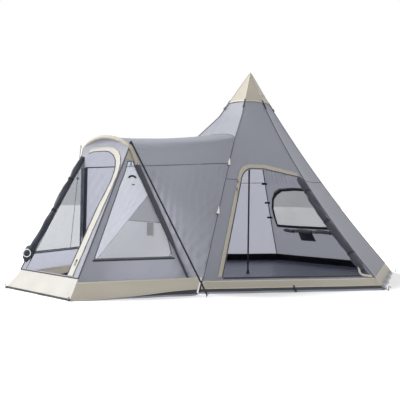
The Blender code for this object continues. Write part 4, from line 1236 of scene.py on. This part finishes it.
def roof_surface(lift=0.0):
    front, rear = roof_curves()
    middle_z = 1.3

    def surface(u, v):
        point = along_curve(front, u).lerp(along_curve(rear, u), v)
        crown = max(0.0, math.sin(math.pi * u)) ** 0.5
        sag = ROOF_SAG * 4 * v * (1 - v) * crown
        away = (point - Vector((point.x, 0, middle_z))).normalized()
        length = (rear[0] - front[0]).length
        pulls = 0.010 * crease(v * length, u * 1.9, 0.16, 0.4, 0.5, 1.0)
        pulls += 0.005 * crease((1 - v) * length, u * 1.9, 0.2, 0.3, 0.4, 5.0)
        ends = smoothstep(0, 0.05, min(u, 1 - u)) * smoothstep(0, 0.04, min(v, 1 - v))
        soft = 0.006 * noise.noise(point * 2.1 + Vector((3, 0, 0)))
        return point - Vector((0, 0, sag)) + away * (lift + ends * (pulls + soft))

    return surface


def add_porch_roof():
    surface = roof_surface()
    roof = cloth(
        "porch_canopy", rectangle(0, 1, 0, 1), surface, "porch", (2.1, 1.3), across=64, up=36, smooth=50
    )
    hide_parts("porch_roof")
    rear = [surface(u, 1.0) for u in steps(0, 1, 60)]
    seam = ribbon(
        "porch_canopy_rear_seam", rear, lambda p: Vector((-0.6, p.y, 0.6)), 0.014, 0.0012, "ridge", crown=0.0015
    )
    declare_cloth(roof, (2.25, 1.55))


def side_surface(hand):
    """The wall between a hoop leg and the teepee's front ridge; v is 0 at the base and 1 at the roof's seam."""
    corner = "near_front" if hand < 0 else "far_front"
    face = Vector((0.1, hand, 0.35)).normalized()

    def surface(u, v):
        front_z, rear_z = (lerp(SIDE_SKIRT_TOP, top, v) for top in PORCH_SEAM)
        front = seam_point(front_z, hand) + Vector((0.012, hand * 0.012, 0))
        rear = outward(ridge_point(corner, rear_z), 0.006)
        point = front.lerp(rear, u)
        length = (rear - front).length
        height = v * 1.35
        mask = smoothstep(0, 0.04, min(u, 1 - u)) * smoothstep(0, 0.04, min(v, 1 - v))
        fan = 0.012 * crease((1 - v) * 1.3 + 0.25 * u * length, u * length, 0.15, 0.75, 0.9, 2.0 + hand)
        pulls = 0.011 * crease(u * length, height, 0.2, 0.35, 1.2, 4.0)
        pulls += 0.011 * crease((1 - u) * length, height, 0.23, 0.3, 1.1, 6.0)
        belly = -0.018 * 16 * u * (1 - u) * v * (1 - v)
        soft = 0.008 * noise.noise(point * 2.3 + Vector((9, hand, 0)))
        return point + face * (belly + mask * (fan + pulls + soft))

    return surface


def gusset_drape(hand):
    base = gusset_surface(hand)
    face = Vector((-0.25, hand, 0.1)).normalized()

    def surface(u, z):
        point = base(u, z) + Vector((0, hand * 0.008, 0)) * smoothstep(0.9, 1.0, u)
        width = (base(1, z) - base(0, z)).length
        low = smoothstep(0.52, 0.30, z)
        mask = smoothstep(0, 0.03, min(u, 1 - u) * width)
        pulls = 0.007 * crease(u * width, z, 0.14, 0.3, 1.0, 3.0)
        pulls += 0.007 * crease((1 - u) * width, z, 0.12, 0.3, 0.9, 8.0)
        soft = 0.008 * noise.noise(point * 3.0 + Vector((0, 0, hand)))
        ripple = 0.0025 * noise.noise(point * 5.0)
        return point + face * mask * (low * (1.6 * pulls + soft) + ripple)

    return surface


def add_porch_sides():
    for name, hand in HANDS:
        face = Vector((0, hand, 0.2))
        surface = side_surface(hand)
        wall = cloth(
            f"porch_wall_{name}", rectangle(0, 1, 0, 1), surface, "porch", (1.0, 1.4), across=48, up=60
        )
        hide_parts(f"porch_side_{name}")
        seam = [surface(u, 1.0) for u in steps(0.005, 0.995, 40)]
        top = ribbon(f"porch_wall_seam_{name}", seam, face, 0.014, 0.0012, "ridge", crown=0.001)
        declare_cloth(wall, (1.25, 1.55))

        drape = gusset_drape(hand)
        window = gusset_window(hand, WINDOW_EXTRA)
        heights = steps(SIDE_SKIRT_TOP + 0.001, GUSSET_EDGE, 10)
        outline = [(0.0, z) for z in heights] + [(1.0, z) for z in reversed(heights)]
        gusset = cloth(
            f"porch_gusset_{name}", outline, drape, "porch", GUSSET_UV, holes=[window], across=30, up=60
        )
        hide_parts(f"gusset_{name}")

        def behind(u, z, s=drape, h=hand):
            return s(u, z) + Vector((0, -h * 0.002, 0))

        # the far window gets the darker copy of the film, a painted shade
        look = "film" if hand < 0 else "far_film_painted_shade"
        clear = gusset_window(hand, WINDOW_EXTRA - 0.001)
        film = cloth(f"porch_window_{name}", clear, behind, look, GUSSET_UV, across=16, up=20)
        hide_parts(f"gusset_pane_{name}")
        border = [Vector((u, z, 0)) for u, z in window]
        border.append(border[0].copy())
        dense = [p for a, b in zip(border, border[1:]) for p in (a, a.lerp(b, 0.25), a.lerp(b, 0.5), a.lerp(b, 0.75))]
        points = [drape(p.x, p.y) for p in [*dense, border[0]]]
        pipe_name, zip_name = f"porch_window_piping_{name}", f"porch_window_zip_{name}"
        piping = ribbon(pipe_name, points, face, 0.012, 0.001, "ridge", crown=0.001, lift=0.001)
        low = [drape(u, window[0][1] - 0.018) for u in steps(window[0][0] - 0.01, min(1.0, window[-1][0] + 0.02), 30)]
        closed = ribbon(zip_name, low, face, 0.02, 0.0015, "zip", crown=0.001, lift=0.002)
        declare_cloth(gusset, (1.45, 1.5))
        declare_cloth(film, (1.1, 1.15))

        leg = [leg_point(z, hand) + Vector((-0.006, hand * 0.004, 0)) for z in steps(0.2, HOOP_SHOULDER.z + 0.01, 40)]
        widths = [0.024 + 0.036 * smoothstep(0.3, 0.55, i / 40 * 1.5) for i in range(41)]
        outside = Vector((-0.55, hand, 0.2))
        sleeve_name = f"hoop_sleeve_cloth_{name}"
        ribbon(sleeve_name, leg, outside, 0.062, 0.0015, "sleeve", crown=0.011, lift=0.006, widths=widths)
        inner_leg = [leg_point(z, hand) + Vector((0.004, -hand * 0.016, 0)) for z in steps(0.2, HOOP_SHOULDER.z, 40)]
        inward = Vector((-0.75, -hand, -0.1))
        ribbon(f"hoop_sleeve_inside_{name}", inner_leg, inward, 0.085, 0.0015, "sleeve", crown=0.006)
        patch = [(0.04, 1.585), (0.96, 1.555), (0.96, GUSSET_EDGE - 0.004), (0.04, GUSSET_EDGE - 0.004)]

        def above(u, z, s=drape, h=hand):
            return s(u, z) + Vector((-0.2, h, 0)).normalized() * 0.004

        over = cloth(f"gusset_patch_{name}", patch, above, "trim", GUSSET_UV, across=8, up=8)
        declare_cloth(over, (0.3, 0.3))
        for n, z in enumerate((0.35, 0.75, 1.15)):
            add_clip(f"hoop_clip_{name}_{n + 1}", leg_point(z, hand), hand)


def add_clip(name, centre, hand):
    """A moulded clip that holds the cloth to a hoop leg, on the inside."""
    along = (leg_point(1, hand) - leg_point(0, hand)).normalized()
    points = [centre + along * d for d in (-0.016, -0.008, 0, 0.008, 0.016)]
    tube(name, points, [0.010, 0.012, 0.0125, 0.012, 0.010], "plastic", sides=12)


def add_hoop_sleeve():
    """The beige sleeve that the hoop's arch runs through, gathered a little over the bend."""
    arch = arch_path(8)
    shape = bmesh.new()
    shape.loops.layers.uv.verify()
    sides = 16
    rings = []
    for i, point in enumerate(arch):
        along = heading(arch, i)
        side = square_to(along, Vector((-1, 0, 0)))
        up = side.cross(along)
        ring = []
        for j in range(sides):
            angle = math.tau * j / sides
            gather = 1 + 0.05 * math.sin(i * 1.3 + 2 * math.sin(angle)) + 0.06 * noise.noise(point * 14)
            flap = 1 + 0.5 * max(0.0, math.cos(angle - SEAM_ANGLE)) ** 6
            r = (SLEEVE_RADIUS - 0.001) * gather * flap
            ring.append(shape.verts.new(around(point, side, up, angle, r)))
        rings.append(ring)
    skin(shape, rings, lambda row, column: (row * 0.04, column * 0.008))
    sleeve = finish_mesh("hoop_arch_sleeve", shape, "trim", 60)
    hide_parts("hoop_sleeve")
    declare_cloth(sleeve, (0.085, 1.75), closed=True)


def front_wall_surface(y, z):
    point = front_surface(y, z)
    near, far = front_edge(z, -1).y, front_edge(z, 1).y
    mask = smoothstep(0, 0.03, min(y - near, far - y))
    soft = 0.006 * noise.noise(point * 3 + Vector((0, 0, 5))) + 0.005 * crease(abs(y - near), z, 0.13, 0.2, 1.0, 1.0)
    return point + Vector((-1, 0, 0.4)).normalized() * mask * soft


def add_front_wall():
    low = FRONT_SKIRT_TOP
    bends = [y for y, _ in HOOP_ARCH if 0 < y < 0.47]
    top = [(y, front_top(y) + 0.012) for y in [-bend for bend in bends] + [0, *reversed(bends)]]
    side_top = top[0][1] - 0.05
    near = [(front_edge(z, -1).y, z) for z in (low, side_top)]
    far = [(front_edge(z, 1).y, z) for z in (side_top, low)]
    outline = near + top + far
    hole = front_door_outline(0)
    wall = cloth("porch_front", outline, front_wall_surface, "porch", holes=[hole], across=44, up=56)
    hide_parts("porch_front_wall")
    declare_cloth(wall, (1.35, 1.95))

    opening = front_door_outline(0)
    keep = range(0, len(opening) - 5)

    def raised(y, z):
        return front_wall_surface(y, z) + FRONT_FACE * (0.006 + 0.002 * noise.noise(Vector((y * 12, z * 9, 3))))

    inner = [
        tuple(Vector(edge).lerp(Vector(deep), TRIM_SPREAD * smoothstep(1.5, 0.9, edge[1])))
        for edge, deep in zip(opening, front_door_outline(-0.02))
    ]
    outer = front_door_outline(FRONT_TRIM_WIDTH)
    band = [inner[i] for i in keep] + [outer[i] for i in reversed(keep)]
    trim = cloth("front_door_band", band, raised, "cream", across=36, up=44)
    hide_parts("front_door_trim")
    last = len(opening) - 5
    line = along_outline(front_wall_surface, lambda grow: inner, 0, 0, last, 0.0085, FRONT_FACE)
    teeth = ribbon("front_door_zip", line, FRONT_FACE, 0.012, 0.0015, "zip", crown=0.001)
    line = along_outline(
        front_wall_surface, front_door_outline, FRONT_TRIM_WIDTH - 0.004, 0, last, 0.0085, FRONT_FACE
    )
    piping = ribbon("front_door_piping", line, FRONT_FACE, 0.008, 0.001, "beige_tape", crown=0.001)
    declare_cloth(trim, (FRONT_TRIM_WIDTH, 16.0))
    rest = along_outline(front_wall_surface, front_door_outline, 0.0, last, len(opening), 0.003, FRONT_FACE)
    ribbon("front_door_far_zip", rest, FRONT_FACE, 0.014, 0.0015, "zip", crown=0.001)

    for name, hand in HANDS:
        heights = steps(low, FRONT_TOP_NEAR.z - 0.05, 40)
        edge = [front_edge(z, hand) + Vector((-0.002, hand * 0.002, 0)) for z in heights]
        out = Vector((-0.8, hand * 0.9, 0.2))
        ribbon(f"front_seam_{name}", edge, out, 0.016, 0.0015, "dark_seam", crown=0.003)

    path = []
    for i in range(49):
        t = i / 48
        z = lerp(1.60, 0.31, t)
        y = lerp(0.285, 0.40, t) + 0.006 * math.sin(8 * t)
        path.append(front_surface(y, z) + FRONT_FACE * 0.058)
    roll = rolled_cloth(
        "front_door_rolled", path, 0.036, "rolled", ties=(0.22, 0.52), toward=Vector((-1, -0.4, 0.3)), seed=8.0
    )
    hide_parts("front_door_roll")
    add_roll_bulge(path[-9:])


def add_roll_bulge(path):
    """The door's lower corner is stuffed back into the end of its roll."""
    shape = bmesh.new()
    bmesh.ops.create_icosphere(shape, subdivisions=4, radius=1.0)
    centre = path[4] + Vector((-0.01, 0.01, 0))
    along = (path[-1] - path[0]).normalized()
    side = along.orthogonal().normalized()
    up = along.cross(side)
    for vert in shape.verts:
        p = vert.co.copy()
        crumple = 1 + 0.16 * noise.noise(p * 2.2) + 0.10 * noise.noise(p * 5.0)
        vert.co = centre + (along * p.z * 0.105 + side * p.x * 0.062 + up * p.y * 0.062) * crumple
    lump = finish_mesh("front_door_bunch", shape, "rolled", 60)
    face = Vector((-0.7, -0.7, 0.1)).normalized()
    across = face.cross(UP).normalized()
    rise = across.cross(face)
    hub = centre - along * -0.01 + face * 0.07
    ring = [
        hub + (across * math.cos(math.tau * i / 24) + rise * math.sin(math.tau * i / 24)) * 0.045 for i in range(25)
    ]
    tube("front_door_ring", ring, [0.0055] * 25, "white")


def add_porch_skirts():
    for name, hand in HANDS:
        corner = "near_front" if hand < 0 else "far_front"

        def surface(u, z, hand=hand, corner=corner):
            front = front_edge(z, hand) + Vector((0.002, 0, 0))
            if hand > 0:
                front += skirt_flare(z)
            rear = outward(ridge_point(corner, z), 0.03) + Vector((-0.09, hand * 0.05, 0))
            point = front.lerp(rear, u)
            low = 1 - z / SIDE_SKIRT_TOP
            place = u * 1.75
            wave = 0.012 * math.sin(math.tau * place / 0.7 + hand) + 0.016 * noise.noise(point * 3.0)
            return point + Vector((0, hand, 0)) * (0.004 + low * smoothstep(0, 0.05, min(u, 1 - u)) * (0.012 + wave))

        def hem_z(u):
            return 0.004 + PORCH_HEM_RISE * smoothstep(0.0, 1.0, u) ** 1.5

        low_edge = [(u, hem_z(u)) for u in steps(0, 1, 20)]
        outline = low_edge + [(1, SIDE_SKIRT_TOP), (0, SIDE_SKIRT_TOP)]
        skirt = cloth(f"mud_skirt_porch_{name}", outline, surface, "skirt", (1.75, 1.0), across=50, up=8)
        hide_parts(f"skirt_porch_{name}")
        face = Vector((0, hand, 0.2))
        seam = [surface(u, SIDE_SKIRT_TOP) for u in steps(0, 1, 50)]
        top = ribbon(f"skirt_seam_porch_{name}", seam, face, 0.016, 0.0012, "beige_tape", crown=0.001)
        low = [surface(u, hem_z(u) + 0.006) for u in steps(0, 1, 50)]
        hem = ribbon(f"skirt_hem_porch_{name}", low, face, 0.014, 0.0016, "beige_tape", lift=0.0004)
        flap_edge = [(u, 0.0005) for u in (0.0, 1.0)] + [(u, hem_z(u) + 0.012) for u in reversed(steps(0, 1, 20))]

        def behind(u, z, s=surface, h=hand):
            return s(u, z) - Vector((0, h * 0.008, 0))

        flap = cloth(f"ground_flap_porch_{name}", flap_edge, behind, "ground", (1.75, 1.0), across=40, up=3)
        declare_cloth(skirt, (1.9, 0.26))
        declare_cloth(flap, (1.8, 0.09))

    def front(u, z):
        point = front_edge(z, -1).lerp(front_edge(z, 1) + skirt_flare(z), u)
        low = 1 - z / FRONT_SKIRT_TOP
        wave = 0.010 * noise.noise(point * 4.0) + 0.004 * math.sin(u * 19)
        return point + Vector((-1, 0, 0.3)) * low * smoothstep(0, 0.06, min(u, 1 - u)) * (0.004 + wave)

    outline = rectangle(0.0, 1.0, 0.0015, FRONT_SKIRT_TOP)
    skirt = cloth("mud_skirt_front", outline, front, "cream", (1.4, 1.1), across=50, up=10)
    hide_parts("skirt_porch_front")
    top = [front(u, FRONT_SKIRT_TOP) for u in steps(0, 1, 40)]
    zipped = ribbon("front_skirt_zip", top, FRONT_FACE, 0.014, 0.0016, "zip", crown=0.001, lift=0.001)
    low = [front(u, 0.012) for u in steps(0, 1, 40)]
    hem = ribbon("front_skirt_hem", low, FRONT_FACE, 0.022, 0.0016, "black_tape", lift=0.001)
    declare_cloth(skirt, (1.45, 0.27))


# ---------------------------------------------------------------- webbing, pegs and small parts


def add_guys():
    for name, hand in HANDS:
        top = GUY_TOPS[hand]
        peg = mirrored(GUY_PEG, hand)
        foot = peg + Vector((0, 0, 0.035)) + (top - peg).normalized() * 0.012
        points = [top.lerp(foot, i / 24) for i in range(25)]
        out = Vector((-0.64, hand * 0.76, 0.1))
        strap = ribbon(f"guy_webbing_{name}", points, out, 0.02, 0.0016, "webbing", lift=-0.0008)
        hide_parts(f"guy_strap_{name}")
        patch = [top + Vector((0.0, -hand * 0.02, -0.02)), top + Vector((0, -hand * 0.005, 0.0)), top]
        ribbon(f"guy_anchor_{name}", smooth_curve(patch, 4), out, 0.034, 0.003, "webbing", crown=0.001)
        along = (foot - top).normalized()
        tail = [top.lerp(foot, 0.955), top.lerp(foot, 0.972) + out * 0.012, top.lerp(foot, 0.985) + out * 0.035]
        tail.append(tail[-1] + along * 0.05 + Vector((0, 0, -0.01)))
        if hand < 0:
            end = smooth_curve(tail, 6)
            ribbon(f"guy_tail_{name}", end, out, 0.018, 0.0014, "webbing")


def add_peg_loops():
    """A webbing loop joins each corner of the skirt to its peg."""
    for corner in ("near_middle", "near_rear", "far_rear", "far_middle"):
        start = outward(ridge_point(corner, 0.03), 0.004)
        low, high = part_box(f"peg_{corner}")
        peg = (Vector(low) + Vector(high)) / 2 - AXIS
        end = Vector((peg.x, peg.y, 0.012))
        middle = (start + end) / 2 + Vector((0, 0, -0.006))
        points = smooth_curve([start, middle, end], 5)
        ribbon(f"peg_loop_{corner}", points, UP, 0.02, 0.0016, "webbing")
    for name, hand in HANDS:
        start = front_edge(0.02, hand) + (skirt_flare(0.02) if hand > 0 else Vector())
        low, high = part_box(f"peg_porch_{name}")
        peg = (Vector(low) + Vector(high)) / 2 - AXIS
        points = smooth_curve(
            [start, (start + Vector((peg.x, peg.y, 0.012))) / 2, Vector((peg.x, peg.y, 0.012))], 5
        )
        ribbon(f"peg_loop_porch_{name}", points, UP, 0.02, 0.0016, "webbing")
    surface = skirt_surface(SIDE_DOOR)
    normal = facet_normal(SIDE_DOOR)
    points = [surface(0.5, z) + normal * 0.004 for z in steps(0.075, 0.004, 6)]
    points.append(points[-1] + normal * 0.03)
    points = [Vector((p.x, p.y, max(p.z, 0.003))) for p in points]
    ribbon("hem_loop_1", points, normal, 0.018, 0.0016, "webbing")


def add_guy_points():
    """Sewn triangles on the near front ridge, each with a toggle."""
    for n, z in enumerate((1.66, 1.02)):
        top = outward(ridge_point("near_front", z), 0.012)
        side = (panel_point(SIDE_DOOR, 0.3, z) - ridge_point("near_front", z)).normalized()
        down = (ridge_point("near_front", z - 0.1) - ridge_point("near_front", z)).normalized()
        out = Vector((-0.75, -0.6, 0.3)).normalized()
        points = [top + down * 0.115 * t for t in steps(0, 1, 8)]
        widths = [lerp(0.005, 0.05, i / 8) for i in range(9)]
        ribbon(f"guy_point_{n + 1}", points, out, 0.05, 0.0015, "cream_tape", widths=widths, lift=0.002)
        knob = points[-1] + out * 0.012 + down * 0.012
        toggle(f"guy_toggle_{n + 1}", knob, side, out)


def add_back_ridge_straps():
    """Inside: webbing tabs on the far ridge that tie the inner tent."""
    for n, z in enumerate((1.05, 1.36, 0.80)):
        start = outward(ridge_point("far_rear", z), -0.02)
        inward = Vector((-start.x, -start.y, 0)).normalized()
        side = UP.cross(inward)
        points = [start + side * d + inward * (0.012 + 0.7 * abs(d)) for d in (-0.045, -0.02, 0.0, 0.02, 0.045)]
        ribbon(f"inner_tab_{n + 1}", points, inward, 0.03, 0.002, "webbing", crown=0.003)


def add_door_toggles():
    """Loops and toggles beside the doors, and the handle tapes in the near porch window."""
    drape = gusset_drape(-1)
    face = Vector((-0.2, -1, 0.1)).normalized()
    window = gusset_window(-1, 0)
    apex = Vector((window[4][0], window[4][1], 0)).lerp(Vector((window[5][0], window[5][1], 0)), 0.5)

    def spot(across, z):
        width = (drape(1, z) - drape(0, z)).length
        return drape(apex.x + across / width, z) + face * 0.006

    toggle("window_toggle", spot(0.0, apex.y - 0.005), UP, face)
    arc = []
    for i in range(13):
        angle = math.radians(lerp(25, 155, i / 12))
        arc.append(spot(-0.055 * math.cos(angle), apex.y - 0.19 + 0.045 * math.sin(angle)))
    ribbon("window_handle", arc, face, 0.022, 0.002, "webbing")
    toggle("window_handle_toggle", spot(0.0, apex.y - 0.25), Vector((1, 0, 0)), face)
    surface, normal = panel_surface(SIDE_DOOR), facet_normal(SIDE_DOOR)
    edge = side_door_outline(0.02)
    for n, z in enumerate((1.34, 1.24)):
        share = (z - edge[0][1]) / (edge[1][1] - edge[0][1])
        u = lerp(edge[0][0], edge[1][0], share)
        toggle(f"door_toggle_{n + 1}", surface(u, z) + normal * 0.012, UP, normal)




def repaint_nodes():
    """Gives the CAD pieces that stay their own finish."""
    finishes = {
        "pole": ("centre_pole_",),
        "hoop": ("hoop_leg_", "hoop_arch"),
        "peg": ("guy_peg_", "peg_"),
        "plastic": ("pole_", "hoop_foot_", "guy_runner_", *DOOR_HARDWARE),
    }
    for look, starts in finishes.items():
        for name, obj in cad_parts.items():
            if name.startswith(starts):
                for slot in obj.material_slots:
                    slot.material = looks[look]


# ---------------------------------------------------------------- stage, light and camera


def add_stage():
    """A pale floor that runs out of sight, level with the tent's underside."""
    nodes = Nodes("pale_floor")
    tone = nodes.noise(nodes.place(), 0.6, 3.0)
    nodes.colour(tone, (0.86, 0.86, 0.86, 1), (0.9, 0.9, 0.9, 1))
    nodes.shader.inputs["Roughness"].default_value = 0.9
    shape = bmesh.new()
    bmesh.ops.create_grid(shape, x_segments=1, y_segments=1, size=60)
    mesh = bpy.data.meshes.new("stage_floor")
    shape.to_mesh(mesh)
    shape.free()
    mesh.materials.append(nodes.material)
    floor = bpy.data.objects.new("stage_floor", mesh)
    bpy.context.scene.collection.objects.link(floor)
    floor.location.z = cad_box[0][2] - 0.001


def add_sun(name, azimuth, elevation, strength, softness, colour=(1, 1, 1)):
    """A distant light from an azimuth (0 along +X, 90 along +Y) and elevation in degrees."""
    light = bpy.data.lights.new(name, "SUN")
    light.energy = strength
    light.angle = math.radians(softness)
    light.color = colour
    lamp = bpy.data.objects.new(name, light)
    a, e = math.radians(azimuth), math.radians(elevation)
    source = Vector((math.cos(a) * math.cos(e), math.sin(a) * math.cos(e), math.sin(e)))
    lamp.rotation_euler = source.to_track_quat("Z", "Y").to_euler()
    bpy.context.scene.collection.objects.link(lamp)


def add_lights():
    world = bpy.data.worlds.new("studio")
    world.use_nodes = True
    background = world.node_tree.nodes["Background"]
    background.inputs["Color"].default_value = (1.0, 1.0, 1.0, 1)
    background.inputs["Strength"].default_value = WORLD_STRENGTH
    bpy.context.scene.world = world
    add_sun("key_light", 122, 37, KEY_STRENGTH, 22)


def add_camera():
    """Eye level about 1.1 m, from the porch's near side. CAMERA_TURN is yaw from +Y towards +X, pitch and roll."""
    data = bpy.data.cameras.new("camera")
    data.lens = CAMERA_LENS
    data.sensor_width = SENSOR
    camera = bpy.data.objects.new("camera", data)
    yaw, pitch, roll = CAMERA_TURN
    ahead = Vector((math.sin(yaw) * math.cos(pitch), math.cos(yaw) * math.cos(pitch), math.sin(pitch)))
    right = Vector((math.cos(yaw), -math.sin(yaw), 0))
    up = right.cross(ahead)
    turned_right = right * math.cos(roll) + up * math.sin(roll)
    turned_up = up * math.cos(roll) - right * math.sin(roll)
    axes = Matrix((turned_right, turned_up, -ahead)).transposed()
    camera.matrix_world = Matrix.Translation(CAMERA_PLACE + AXIS) @ axes.to_4x4()
    bpy.context.scene.collection.objects.link(camera)
    bpy.context.scene.camera = camera
    bpy.context.scene.view_settings.view_transform = "Standard"


add_canopy()
add_ridge_seams()
add_panel_seams()
add_peak_cap()
add_skirts()
add_groundsheets()
add_side_door()
add_rear_window()
add_inner_door()
add_porch_roof()
add_porch_sides()
add_hoop_sleeve()
add_front_wall()
add_porch_skirts()
add_guys()
add_peg_loops()
add_guy_points()
add_back_ridge_straps()
add_door_toggles()
repaint_nodes()
add_stage()
add_lights()
add_camera()
